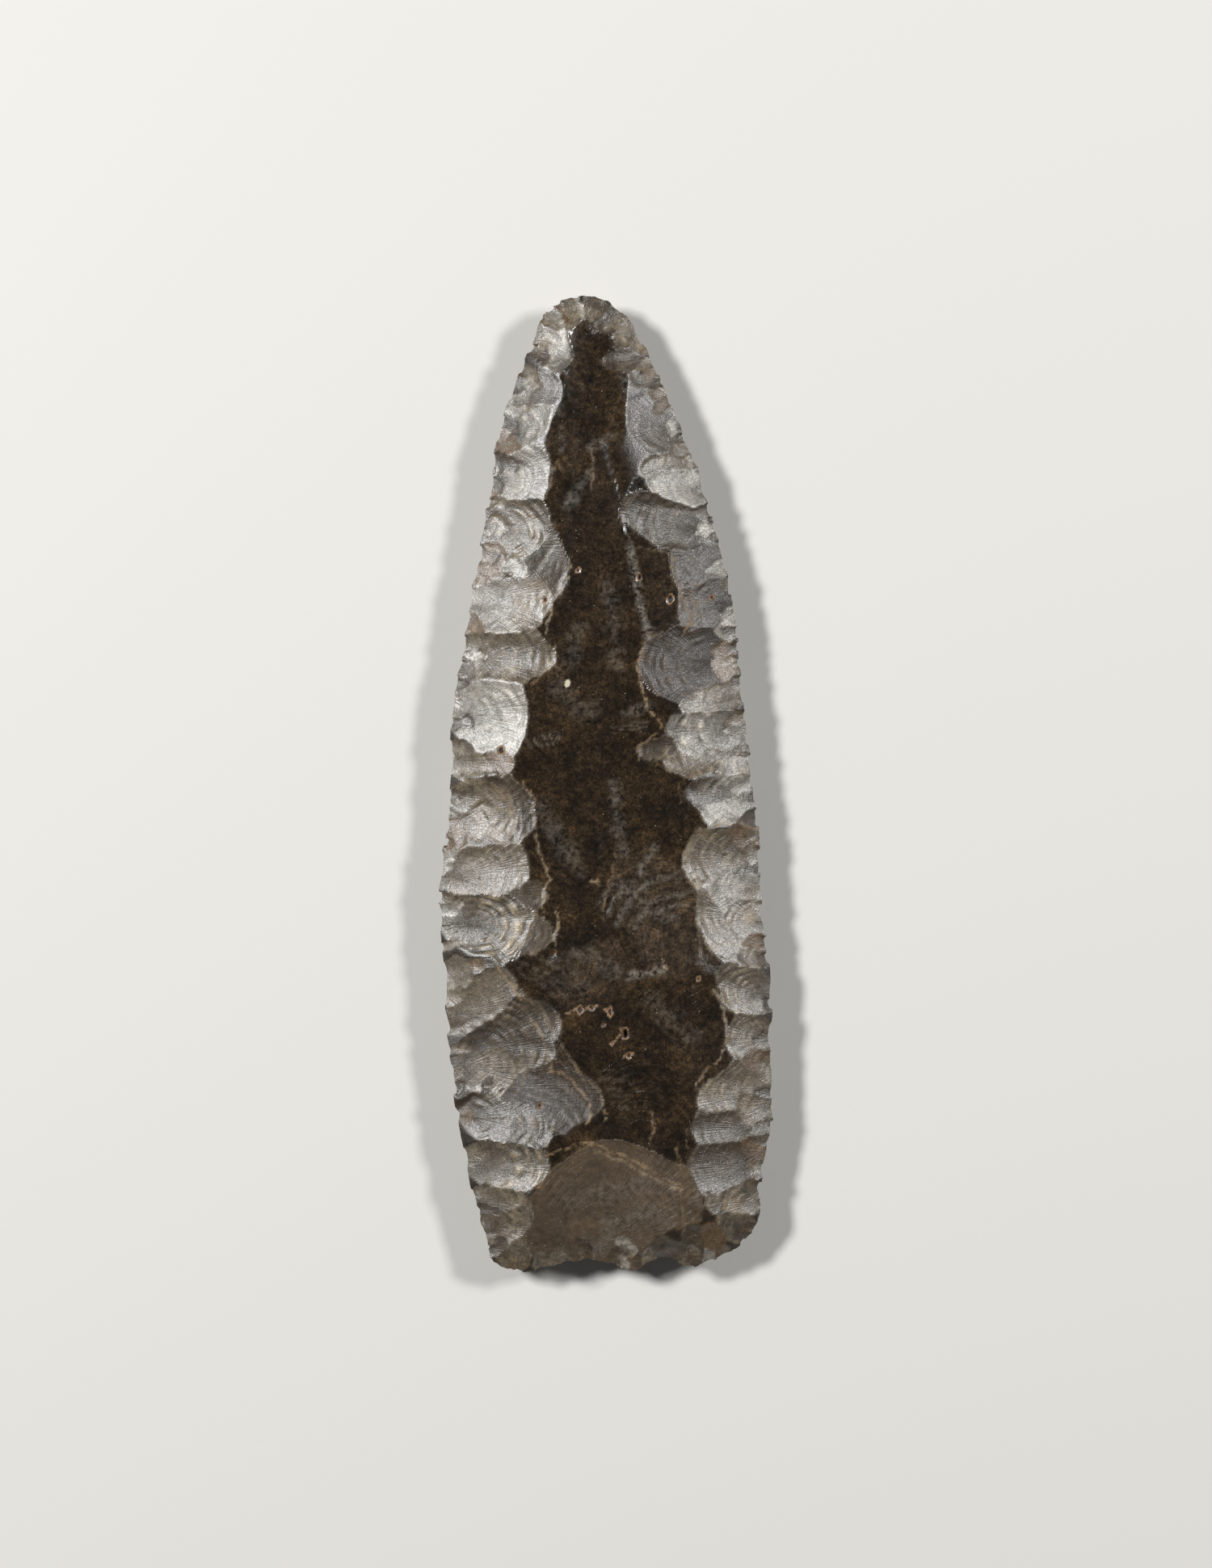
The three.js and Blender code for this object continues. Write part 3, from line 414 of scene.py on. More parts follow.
@dataclass
class Scar:
    """One flake scar: an elliptical bowl along the line of the blow, with its ripples and its end."""

    start: Floats
    to: Floats
    breadth: float
    hollow: float
    ripple: float
    step: float
    tone: Tone
    edge: Floats | None
    index: int
    hollow_share: float = 0.08
    climb_share: float = 0.42
    bend_share: float = 0.3
    sweep_share: float = 1.4
    bulb_share: float = 0.12
    bulb_per_ripple: float = 0.1
    reach_share: float = 1.5
    rim_samples: int = 16
    step_depth: float = 0.1
    ripple_height: float = 0.048
    wander_breadth: float = 0.8
    unevenness: float = 0.003
    flatness: float = 0.7
    least_climb: float = 1.1
    end_climb_loss: float = 0.75
    step_from: float = 0.86
    flare_share: float = 0.14
    skew_share: float = 0.22
    ripple_wander: float = 0.35
    ripple_pitch: float = 1.5
    pitch_per_reach: float = 0.06
    pitch_spread: float = 0.4
    closing_share: float = 0.3
    broad_share: float = 2.2
    narrow_share: float = 0.3
    level: float = 0.0
    pitch: float = 0.0
    roll: float = 0.0
    saddle: float = 0.0

    def __post_init__(self) -> None:
        """Works out the bowl's axes and depth from the blow."""
        span = self.to - self.start
        self.reach = float(np.linalg.norm(span))
        self.along = span / self.reach
        bulb = self.bulb_share + self.bulb_per_ripple * self.ripple
        self.source = self.start + bulb * span
        self.run = (1.0 - bulb) * self.reach
        self.centre = (self.start + self.to) / 2.0
        self.half_length = self.reach / 2.0
        self.half_breadth = self.breadth / 2.0
        self.depth = self.hollow * self.hollow_share * min(self.half_length, self.half_breadth)

    def shares(self, x: Floats, y: Floats) -> tuple[Floats, Floats]:
        """Places in plan as shares of the bowl's half length and half breadth.

        Args:
            x: Places in plan, in millimetres.
            y: Places in plan, in millimetres.

        Returns:
            The share along the blow, and the share across it.
        """
        dx, dy = x - self.centre[0], y - self.centre[1]
        ax, ay = self.along
        return (dx * ax + dy * ay) / self.half_length, (dy * ax - dx * ay) / self.half_breadth

    def plain_height(self, x: Floats, y: Floats) -> Floats:
        """Height of the plain bowl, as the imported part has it, and infinity beyond its reach.

        Args:
            x: Places in plan, in millimetres.
            y: Places in plan, in millimetres.

        Returns:
            The heights in millimetres.
        """
        u, v = self.shares(x, y)
        spread = u * u + v * v
        height = self.rim_height(u, v) - self.depth * (1.0 - spread)
        return np.where(spread > self.reach_share**2, np.inf, height)

    def rim_height(self, u: Floats, v: Floats) -> Floats:
        """Height of the surface laid through the bowl's rim. Its bend dies away beyond the rim."""
        bend = (u * u - v * v) / np.maximum(u * u + v * v, 1.0) ** 2
        return self.level + self.pitch * u + self.roll * v + self.saddle * bend

    def settle(self, face: "Face") -> None:
        """Fits the plane of the bowl's rim to the face by least squares over points round the rim.

        Args:
            face: The face as it was before the blow.
        """
        angle = np.arange(self.rim_samples) / self.rim_samples * 2.0 * math.pi
        u, v = np.cos(angle), np.sin(angle)
        ax, ay = self.along
        x = self.centre[0] + u * self.half_length * ax - v * self.half_breadth * ay
        y = self.centre[1] + u * self.half_length * ay + v * self.half_breadth * ax
        height = face.plain_height(x, y)
        self.level = float(height.mean())
        self.pitch = float(2.0 * (height * u).mean())
        self.roll = float(2.0 * (height * v).mean())
        self.saddle = float(2.0 * (height * (u * u - v * v)).mean())
        if self.edge is not None:
            self.tilt_to_edge()
            self.saddle = min(self.saddle, self.bend_share * self.pitch)
            self.depth = min(self.depth, self.climb_share * self.pitch - self.saddle)
            self.tilt_to_edge()

    def tilt_to_edge(self) -> None:
        """Tilts the bowl about its far end until it passes through the edge of the stone at its platform."""
        u, _ = self.shares(*self.edge)
        lift = -float(self.plain_height(*self.edge)) / (1.0 - float(u))
        self.level += lift
        self.pitch -= lift

    def flow(self, x: Floats, y: Floats) -> tuple[Floats, Floats]:
        """Distance from the bulb of the blow and distance across its path, in millimetres.

        The distance grows faster sideways, because ripples are swept back along the sides of a scar.

        Args:
            x: Places in plan, in millimetres.
            y: Places in plan, in millimetres.

        Returns:
            The distance from the bulb, and the distance across.
        """
        dx, dy = x - self.source[0], y - self.source[1]
        ax, ay = self.along
        forwards, sideways = dx * ax + dy * ay, (dy * ax - dx * ay) * self.sweep_share
        return np.hypot(forwards, sideways), np.arctan2(sideways, forwards) * self.reach

    def rim_share(self, x: Floats, y: Floats) -> Floats:
        """Share of the way from the scar's middle to its uneven rim. The factors of index set the scars apart.

        Args:
            x: Places in plan, in millimetres.
            y: Places in plan, in millimetres.

        Returns:
            The shares: 0 in the middle and 1 on the rim.
        """
        u, v = self.shares(x, y)
        free = smooth_step(-1.0, -0.2, u) * self.wander_breadth
        flare = 1.0 + (self.flare_share + self.flare_share * math.sin(1.7 * self.index)) * u
        skew = self.skew_share * math.sin(2.9 * self.index)
        u_bent = u + skew * v + free * wander(x, y, 1.3 * self.index) / self.half_length
        v_bent = v / flare + free * wander(y, x, 2.1 * self.index) / self.half_breadth
        return np.hypot(u_bent, v_bent)

    def height(self, x: Floats, y: Floats) -> Floats:
        """Height of the scar with its uneven rim, its abrupt end and its ripples.

        Args:
            x: Places in plan, in millimetres.
            y: Places in plan, in millimetres.

        Returns:
            The heights, with infinity beyond the scar's reach.
        """
        u, v = self.shares(x, y)
        rim = self.rim_share(x, y)
        dish = 1.0 - rim * rim
        height = self.rim_height(u, v) - self.depth * self.flatness * np.maximum(dish, 0.0)
        past_end = smooth_step(0.3, 0.9, u / np.maximum(np.hypot(u, v), 0.01))
        climb = np.maximum(self.depth, self.least_climb * (1.0 - self.end_climb_loss * past_end))
        height += climb * np.maximum(-dish, 0.0)
        far = smooth_step(-0.8, 0.2, u)
        height -= self.step * self.step_depth * (1.0 - smooth_step(self.step_from, 1.0, rim)) * far
        height += self.ripple * self.ripple_height * self.ripples(x, y)
        height += self.unevenness * wander(3.1 * x, 3.1 * y, 4.7 * self.index)
        return np.where(rim > self.reach_share, np.inf, height)

    def ripples(self, x: Floats, y: Floats) -> Floats:
        """Shock ripples about the platform: closer and stronger towards the far end.

        Args:
            x: Places in plan, in millimetres.
            y: Places in plan, in millimetres.

        Returns:
            Their heights, as shares of the scar's ripple height.
        """
        away, across = self.flow(x, y)
        away = away + self.ripple_wander * wander(x, y, 0.7 * self.index)
        pitch = self.ripple_pitch + self.pitch_per_reach * self.reach + self.pitch_spread * math.sin(2.3 * self.index)
        turns = away / pitch * (1.0 + self.closing_share * away / self.run)
        turns = turns + 0.22 * np.sin(1.9 * turns + self.index) + 0.1 * np.sin(4.3 * turns + 2.0 * self.index)
        broad = (0.5 + 0.5 * np.cos(2.0 * math.pi * turns)) ** 2
        narrow = (0.5 + 0.5 * np.cos(5.2 * math.pi * turns + self.index)) ** 2
        uneven = 0.55 + 0.45 * np.sin(0.7 * across + 0.5 * away + 1.9 * self.index)
        height = self.broad_share * broad * uneven + self.narrow_share * narrow * (1.0 - uneven)
        return height * self.fading(x, y)

    def fading(self, x: Floats, y: Floats) -> Floats:
        """Share of the ripples that is left at each place: none behind the bulb, and all at the far end."""
        u, _ = self.shares(x, y)
        return smooth_step(0.05, 0.5, self.flow(x, y)[0] / self.run) * smooth_step(-0.6, 0.1, u)


@dataclass
class Face:
    """One face of the stone. Its height is that of the blank, less every flake struck so far."""

    blank: Blank
    outline: Outline
    rise: float
    scars: list[Scar] = field(default_factory=list)
    platform_zone: float = 3.5
    platform_outside: float = 0.8
    search_share: float = 1.8
    halvings: int = 14
    panel_rounding: float = 0.3
    ridge_rounding: float = 0.03
    nibble_jitter: float = 0.4
    nibble_lean: float = 0.5
    nibble_outside: float = 0.6
    nibble_reach: tuple[float, float] = (1.4, 4.2)
    nibble_breadth: tuple[float, float] = (1.3, 3.0)
    nibble_hollow: tuple[float, float] = (0.9, 1.6)
    nibble_bite: tuple[float, float] = (0.0, 0.4)
    nibble_tones: str = "gggbnss"

    def blank_height(self, x: Floats, y: Floats) -> Floats:
        """Height of the blank over the edge plane: it climbs over the margin and is flat inside.

        Args:
            x: Places in plan, in millimetres.
            y: Places in plan, in millimetres.

        Returns:
            The heights in millimetres.
        """
        inwards = self.outline.distance_inside(x, y)
        crown, margin = self.blank.crown_share, self.blank.margin_width
        share = np.clip(inwards / margin, 0.0, 1.0)
        inside = self.rise * (1.0 - (1.0 - share) ** crown)
        return np.where(inwards < 0.0, inwards * self.rise * crown / margin, inside)

    def plain_height(self, x: Floats, y: Floats) -> Floats:
        """Height of the face with plain bowls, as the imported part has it.

        Args:
            x: Places in plan, in millimetres.
            y: Places in plan, in millimetres.

        Returns:
            The heights in millimetres.
        """
        height = self.blank_height(x, y)
        for scar in self.scars:
            height = np.minimum(height, scar.plain_height(x, y))
        return height

    def edge_crossing(self, start: Floats, to: Floats) -> Floats:
        """The point on the line of a blow where it crosses the edge of the finished stone, found by halving.

        Args:
            start: Where the blow falls, in millimetres.
            to: Where the scar ends.

        Returns:
            The crossing.
        """
        inner = to.copy()
        outer = to + (start - to) * self.search_share
        for _ in range(self.halvings):
            middle = (inner + outer) / 2.0
            if self.outline.distance_inside(*middle)[0] > self.blank.edge_allowance:
                inner = middle
            else:
                outer = middle
        return inner

    def strike(self, start: Floats, to: Floats, breadth: float, traits: tuple, bite: float = 0.0) -> None:
        """Strikes one flake: its bowl is laid on the face as it is.

        Args:
            start: Where the blow falls, in millimetres.
            to: Where the scar ends.
            breadth: Breadth of the scar in millimetres.
            traits: How hollow, rippled and stepped the scar is, and its tone.
            bite: How far inside the edge of the stone the scar starts, in millimetres.
        """
        hollow, ripple, step, tone = traits
        edge = None
        if self.outline.distance_inside(*start)[0] < self.platform_zone:
            along = (to - start) / np.linalg.norm(to - start)
            edge = self.edge_crossing(start, to) + bite * along
            start = edge - along * self.platform_outside
        scar = Scar(start, to, breadth, hollow, ripple, step, Tone(tone), edge, len(self.scars) + 1)
        scar.settle(self)
        self.scars.append(scar)

    def strike_table(self, table: list[Row]) -> None:
        """Strikes the flakes of a table of shares.

        Args:
            table: The blows, one row each.
        """
        for from_x, from_y, to_x, to_y, breadth, *traits in table:
            start, to = self.blank.place(from_x, from_y), self.blank.place(to_x, to_y)
            self.strike(start, to, breadth * PERCENT * self.blank.length, tuple(traits))

    def nibble(self, flakes: int, seed: int) -> None:
        """Strikes the finest retouch: small flakes all round the edge.

        Args:
            flakes: How many.
            seed: Starts the draws of their places and sizes.
        """
        draw = np.random.default_rng(seed)
        points = self.outline.points
        for i in range(flakes):
            at = int((i + draw.uniform(-self.nibble_jitter, self.nibble_jitter)) / flakes * len(points)) % len(points)
            chord = points[(at + 1) % len(points)] - points[at - 1]
            inwards = np.array([-chord[1], chord[0]]) / np.linalg.norm(chord)
            lean = draw.uniform(-self.nibble_lean, self.nibble_lean)
            leaning = inwards + lean * np.array([-inwards[1], inwards[0]])
            reach, breadth = draw.uniform(*self.nibble_reach), draw.uniform(*self.nibble_breadth)
            start, to = points[at] - self.nibble_outside * leaning, points[at] + reach * leaning
            traits = (draw.uniform(*self.nibble_hollow), 0.4, 0.5, str(draw.choice(list(self.nibble_tones))))
            self.strike(start, to, breadth, traits, bite=draw.uniform(*self.nibble_bite))

    def survey(self, x: Floats, y: Floats) -> tuple[Floats, Floats, Floats, Floats]:
        """Heights of the finished face.

        Args:
            x: Places in plan, in millimetres.
            y: Places in plan, in millimetres.

        Returns:
            The height at each place, how far the next surface lies over it, the index of the scar that is
            open there, and that of the next one. The index of the skin of the blank is 0.
        """
        lowest = self.blank_height(x, y)
        second = np.full(x.shape, np.inf)
        owner = np.zeros(x.shape, dtype=int)
        neighbour = np.zeros(x.shape, dtype=int)
        for scar in self.scars:
            bound = scar.reach_share * max(scar.half_length, scar.half_breadth) + 1.0
            near = np.flatnonzero(np.hypot(x - scar.centre[0], y - scar.centre[1]) < bound)
            height = scar.height(x[near], y[near])
            before = lowest[near]
            under = height < before
            over = ~under & (height < second[near])
            neighbour[near] = np.where(under, owner[near], np.where(over, scar.index, neighbour[near]))
            second[near] = np.where(under, before, np.minimum(second[near], height))
            rounding = self.panel_rounding if scar.index <= len(PANEL_SHARES) else self.ridge_rounding
            overlap = np.maximum(rounding - np.abs(height - before), 0.0)
            lowest[near] = np.minimum(height, before) - overlap**2 / (4.0 * rounding)
            owner[near] = np.where(under, scar.index, owner[near])
        return lowest, second - lowest, owner, neighbour


@dataclass(frozen=True)
class Pattern:
    """A noise pattern: how many features it has to the millimetre, its octaves, and how rough they make it."""

    per_millimetre: float
    octaves: float
    rough: float

    def inputs(self, place: Socket) -> dict:
        """The inputs of the noise node that draws the pattern."""
        return {"Vector": place, "Scale": self.per_millimetre, "Detail": self.octaves, "Roughness": self.rough}


@dataclass(frozen=True)
class Ramp:
    """A climb or fall from start to end, while what drives it goes from low to high. It is held at both ends."""

    low: float
    high: float
    start: float
    end: float

    def inputs(self, value: Socket) -> dict:
        """The inputs of the map range node that makes the climb."""
        return {"Value": value, "From Min": self.low, "From Max": self.high, "To Min": self.start, "To Max": self.end}


@dataclass(frozen=True)
class Readings:
    """What the material reads from the stone's mesh, and the patterns that several of its parts share."""

    millimetres: Socket
    flow: Socket
    tint: Socket
    paleness: Socket
    crest: Socket
    silt: Socket
    rippled: Socket
    frost: Socket
    fine_ripples: Socket
    mottles: Socket
    stipple: Socket


@dataclass(frozen=True)
class FlintFinish:
    """Flint: chalcedony with a shell fracture, satin from burial, darkest where the old skin is left.

    The eye gets a dark, faintly mottled panel with little sheen, and pale satin margins with ripples that catch
    the light. The margins' pale tones are partly painted sheen, and the ripples, wave crests and crests between scars
    carry painted highlight and shade.
    """

    name: str = "flint, satin shell fracture"
    ior: float = 1.8
    roughness: float = 0.36
    gloss_coat: float = 0.04
    coat_roughness: float = 0.25
    # The margin tones are partly painted sheen, set scar by scar for how bright each looks, and DUSK is partly
    # painted shade.
    looks: dict[Tone, ToneLook] = field(
        default_factory=lambda: {
            Tone.PANEL: ToneLook("#23190d", 0.0, 0.15),
            Tone.SLATE: ToneLook("#42382b", 0.85, 0.45),
            Tone.GREY: ToneLook("#605647", 0.75, 0.45),
            Tone.BRIGHT: ToneLook("#7f796f", 0.75, 0.45),
            Tone.BROWN: ToneLook("#5b4730", 0.9, 0.3),
            Tone.DUSK: ToneLook("#33271a", 1.15, 1.0),
            Tone.BASE: ToneLook("#4f4130", 1.0, 0.55),
            Tone.UMBER: ToneLook("#31261a", 0.2, 0.8),
        }
    )
    silt: str = "#ad9069"
    earth: str = "#8c5c33"
    speck: str = "#d9ceb4"
    crust: str = "#6a563c"
    pale_vein_and_highlight: str = "#8d877c"
    # The dark of painted shade, laid in the deep floors of pits and as a line along the crests between scars.
    painted_shade: str = "#1c130b"

    # Clouds of 4 mm, mottles of 1 mm and a stipple of 0.3 mm: the flint isn't one even colour. The stipple also
    # paints the glints of the fine facets, a painted sparkle.
    clouds: Pattern = Pattern(0.24, 5.0, 0.6)
    mottles: Pattern = Pattern(1.1, 5.0, 0.7)
    stipple: Pattern = Pattern(3.0, 3.0, 0.75)
    cloud_shade: Ramp = Ramp(0.3, 0.7, 0.55, 1.6)
    stipple_shade: Ramp = Ramp(0.3, 0.7, 0.4, 1.7)
    painted_ripple_bands: Ramp = Ramp(0.35, 0.65, -0.35, 0.5)
    contrast_by_frost: Ramp = Ramp(0.0, 1.0, 1.7, 0.5)

    # Milky chalcedony breaks the veins up, and silt flakes away in patches of 1 mm.
    milkiness: Pattern = Pattern(1.1, 5.0, 0.75)
    milky_share: Ramp = Ramp(0.4, 0.62, 0.0, 1.0)
    fleck_share: Ramp = Ramp(1.0, 1.6, 0.0, 1.0)
    silt_patches: Pattern = Pattern(0.9, 4.0, 0.7)
    patch_share: Ramp = Ramp(0.4, 0.56, 0.0, 1.0)
    full_silt_share: Ramp = Ramp(0.8, 1.0, 0.0, 1.0)
    earth_share: Ramp = Ramp(0.5, 1.0, 0.0, 1.0)
    # Painted shade: deep pit floors and a line along the crests between scars are mixed towards a dark colour.
    pit_shade_share: Ramp = Ramp(1.1, 1.4, 0.0, 1.0)
    crest_shade_ramp: Ramp = Ramp(0.3, 1.0, 0.0, 0.4)

    # Fossil specks of 0.1 to 0.3 mm, in clusters of 2 mm.
    specks_per_millimetre: float = 0.9
    speck_size: Ramp = Ramp(0.04, 0.1, 0.5, 0.0)
    speck_clusters: Pattern = Pattern(0.45, 2.0, 0.5)
    cluster_share: Ramp = Ramp(0.5, 0.6, 0.0, 1.0)

    # Hackles run away from the platform and fine ripples round it, so each is stretched along its own direction.
    # Heights are in millimetres.
    hackles: Pattern = Pattern(1.0, 3.0, 0.55)
    hackle_stretch: tuple[float, ...] = (0.3, 2.0, 1.0)
    hackle_height: Ramp = Ramp(0.0, 1.0, 0.01, 0.075)
    fine_ripples: Pattern = Pattern(1.0, 3.0, 0.6)
    ripple_stretch: tuple[float, ...] = (1.5, 0.12, 1.0)
    ripple_height: float = 0.06
    saw_per_millimetre: float = 0.22
    saw_distortion: float = 2.4
    saw_octaves: float = 2.0
    saw_octave_scale: float = 0.25
    saw_height: float = 0.022
    grain: Pattern = Pattern(3.3, 3.0, 0.7)
    grain_height: Ramp = Ramp(0.0, 1.0, 0.001, 0.055)

    # What makes the satin rougher or smoother from place to place.
    full_frost: float = 2.0
    polish: float = 0.15
    frosting: float = 0.17
    mottle_gloss: Ramp = Ramp(0.3, 0.7, -0.05, 0.07)
    stipple_gloss: Ramp = Ramp(0.3, 0.7, 0.13, -0.1)
    crest_gloss: Ramp = Ramp(0.3, 1.0, 0.0, 0.16)
    silt_gloss: float = 0.45

    def scar_looks(self, scars: list[Scar]) -> Floats:
        """Linear colour, frost and grain of each scar of a face, with the skin of the blank first."""
        looks = [self.looks[tone] for tone in (Tone.PANEL, *(scar.tone for scar in scars))]
        return np.array([(*linear(look.colour), look.frost, look.grain) for look in looks])

    def material(self) -> bpy.types.Material:
        """Makes the material of the stone.

        Returns:
            The material, which reads the mesh's own attributes and Object coordinates.
        """
        material, tree, shader = plain_material(self.name, roughness=self.roughness, ior=self.ior)
        read = self.read_mesh(tree)
        held = self.held_silt(tree, read)
        colour = self.with_silt_shade_and_specks(tree, read, self.stone_colour(tree, read), held)
        bump = self.bump(tree, read)
        tree.links.new(colour, shader.inputs["Base Color"])
        tree.links.new(self.gloss(tree, read, held), shader.inputs["Roughness"])
        tree.links.new(bump, shader.inputs["Normal"])
        tree.links.new(bump, shader.inputs["Coat Normal"])
        shader.inputs["Coat Weight"].default_value = self.gloss_coat
        shader.inputs["Coat Roughness"].default_value = self.coat_roughness
        return material

    def read_mesh(self, tree: bpy.types.NodeTree) -> Readings:
        """Reads the stone's attributes and lays the shared patterns.

        Args:
            tree: The material's node tree.

        Returns:
            The sockets that the rest of the material starts from.
        """
        tint = add_node(tree, "ShaderNodeAttribute", {"attribute_name": "tint"})
        weather_and_shade = add_node(tree, "ShaderNodeAttribute", {"attribute_name": "weather_and_shade"})
        flow = add_node(tree, "ShaderNodeAttribute", {"attribute_name": "flow"}).outputs["Vector"]
        marks = add_node(tree, "ShaderNodeSeparateColor", {}, {"Color": weather_and_shade.outputs["Color"]})
        place = add_node(tree, "ShaderNodeTexCoord", {}).outputs["Object"]
        millimetres = add_node(tree, "ShaderNodeVectorMath", SCALED, {0: place, "Scale": 1.0 / METRES}).outputs[0]
        swept = add_node(tree, "ShaderNodeMapping", {}, {"Vector": flow, "Scale": self.ripple_stretch}).outputs[0]
        return Readings(
            millimetres=millimetres,
            flow=flow,
            tint=tint.outputs["Vector"],
            paleness=tint.outputs["Alpha"],
            crest=marks.outputs["Red"],
            silt=marks.outputs["Green"],
            rippled=marks.outputs["Blue"],
            frost=weather_and_shade.outputs["Alpha"],
            fine_ripples=add_node(tree, NOISE, {}, self.fine_ripples.inputs(swept)).outputs[0],
            mottles=add_node(tree, NOISE, {}, self.mottles.inputs(millimetres)).outputs[0],
            stipple=add_node(tree, NOISE, {}, self.stipple.inputs(millimetres)).outputs[0],
        )

    def stone_colour(self, tree: bpy.types.NodeTree, read: Readings) -> Socket:
        """Colours the flint: its tints, clouded and mottled, with painted light and dark bands along the ripples, and
        pale veins that also carry painted highlights.

        Args:
            tree: The material's node tree.
            read: What the material reads from the mesh.

        Returns:
            The colour of the clean stone.
        """
        clouds = add_node(tree, NOISE, {}, self.clouds.inputs(read.millimetres)).outputs[0]
        clouded = add_node(tree, RANGE, {}, self.cloud_shade.inputs(clouds)).outputs[0]
        mottled = add_node(tree, RANGE, {}, self.cloud_shade.inputs(read.mottles)).outputs[0]
        shade = add_node(tree, MATH, TIMES, {0: clouded, 1: mottled}).outputs[0]
        # Painted highlight and shade: paler bands on the crests of the fine ripples, darker between them.
        crests = add_node(tree, RANGE, {}, self.painted_ripple_bands.inputs(read.fine_ripples)).outputs[0]
        painted_bands = add_node(tree, MATH, TIMES_PLUS, {0: crests, 1: read.rippled, 2: 1.0}).outputs[0]
        with_painted_bands = add_node(tree, MATH, TIMES, {0: shade, 1: painted_bands}).outputs[0]
        dots = add_node(tree, RANGE, {}, self.stipple_shade.inputs(read.stipple)).outputs[0]
        stippled = add_node(tree, MATH, TIMES, {0: with_painted_bands, 1: dots}).outputs[0]
        power = add_node(tree, RANGE, {}, self.contrast_by_frost.inputs(read.frost)).outputs[0]
        contrast = add_node(tree, MATH, {"operation": "POWER"}, {0: stippled, 1: power}).outputs[0]
        even = add_node(tree, "ShaderNodeVectorMath", SCALED, {0: read.tint, "Scale": contrast}).outputs[0]

        # Pale veins are broken up, as milky chalcedony is, and so are the painted highlights of old ridges and wave
        # crests that share their channel. A cream fleck stands where a vein is strongest.
        milk = add_node(tree, NOISE, {}, self.milkiness.inputs(read.millimetres)).outputs[0]
        milky = add_node(tree, RANGE, {}, self.milky_share.inputs(milk)).outputs[0]
        share = add_node(tree, MATH, TIMES, {0: read.paleness, 1: milky}).outputs[0]
        veined = add_node(tree, MIX, COLOURS, {0: share, 6: even, 7: opaque(self.pale_vein_and_highlight)}).outputs[2]
        fleck = add_node(tree, RANGE, {}, self.fleck_share.inputs(read.paleness)).outputs[0]
        return add_node(tree, MIX, COLOURS, {0: fleck, 6: veined, 7: opaque(self.speck)}).outputs[2]

    def held_silt(self, tree: bpy.types.NodeTree, read: Readings) -> Socket:
        """Breaks the silt up where it flakes away, and keeps all of it in the pits.

        Args:
            tree: The material's node tree.
            read: What the material reads from the mesh.

        Returns:
            The share of silt at each place.
        """
        patches = add_node(tree, NOISE, {}, self.silt_patches.inputs(read.millimetres)).outputs[0]
        patch = add_node(tree, RANGE, {}, self.patch_share.inputs(patches)).outputs[0]
        broken = add_node(tree, MATH, TIMES, {0: read.silt, 1: patch}).outputs[0]
        full = add_node(tree, RANGE, {}, self.full_silt_share.inputs(read.silt)).outputs[0]
        return add_node(tree, MATH, {"operation": "MAXIMUM"}, {0: broken, 1: full}).outputs[0]

    def with_silt_shade_and_specks(
        self, tree: bpy.types.NodeTree, read: Readings, stone: Socket, held: Socket
    ) -> Socket:
        """Lays silt in the pits and stepped ends, painted shade in the deep pit floors and as a dark line along the
        crests, and pale specks over all.

        Args:
            tree: The material's node tree.
            read: What the material reads from the mesh.
            stone: The colour of the clean stone.
            held: The share of silt at each place.

        Returns:
            The finished colour.
        """
        earthy = add_node(tree, RANGE, {}, self.earth_share.inputs(read.silt)).outputs[0]
        soil = add_node(tree, MIX, COLOURS, {0: earthy, 6: opaque(self.silt), 7: opaque(self.earth)}).outputs[2]
        # Silt over 1.1 marks the deep floor of a pit, which is painted dark as shade.
        deep = add_node(tree, RANGE, {}, self.pit_shade_share.inputs(read.silt)).outputs[0]
        filling = add_node(tree, MIX, COLOURS, {0: deep, 6: soil, 7: opaque(self.painted_shade)}).outputs[2]
        silted = add_node(tree, MIX, COLOURS, {0: held, 6: stone, 7: filling}).outputs[2]
        # Painted shade: a dark line along the crests between scars.
        painted_crest_shade = add_node(tree, RANGE, {}, self.crest_shade_ramp.inputs(read.crest)).outputs[0]
        lined = add_node(tree, MIX, COLOURS, {0: painted_crest_shade, 6: silted, 7: opaque(self.painted_shade)}).outputs[2]
        cells = add_node(
            tree, "ShaderNodeTexVoronoi", {}, {"Vector": read.millimetres, "Scale": self.specks_per_millimetre}
        )
        speck = add_node(tree, RANGE, {}, self.speck_size.inputs(cells.outputs["Distance"])).outputs[0]
        clusters = add_node(tree, NOISE, {}, self.speck_clusters.inputs(read.millimetres)).outputs[0]
        cluster = add_node(tree, RANGE, {}, self.cluster_share.inputs(clusters)).outputs[0]
        specks = add_node(tree, MATH, TIMES, {0: speck, 1: cluster}).outputs[0]
        return add_node(tree, MIX, COLOURS, {0: specks, 6: lined, 7: opaque(self.speck)}).outputs[2]

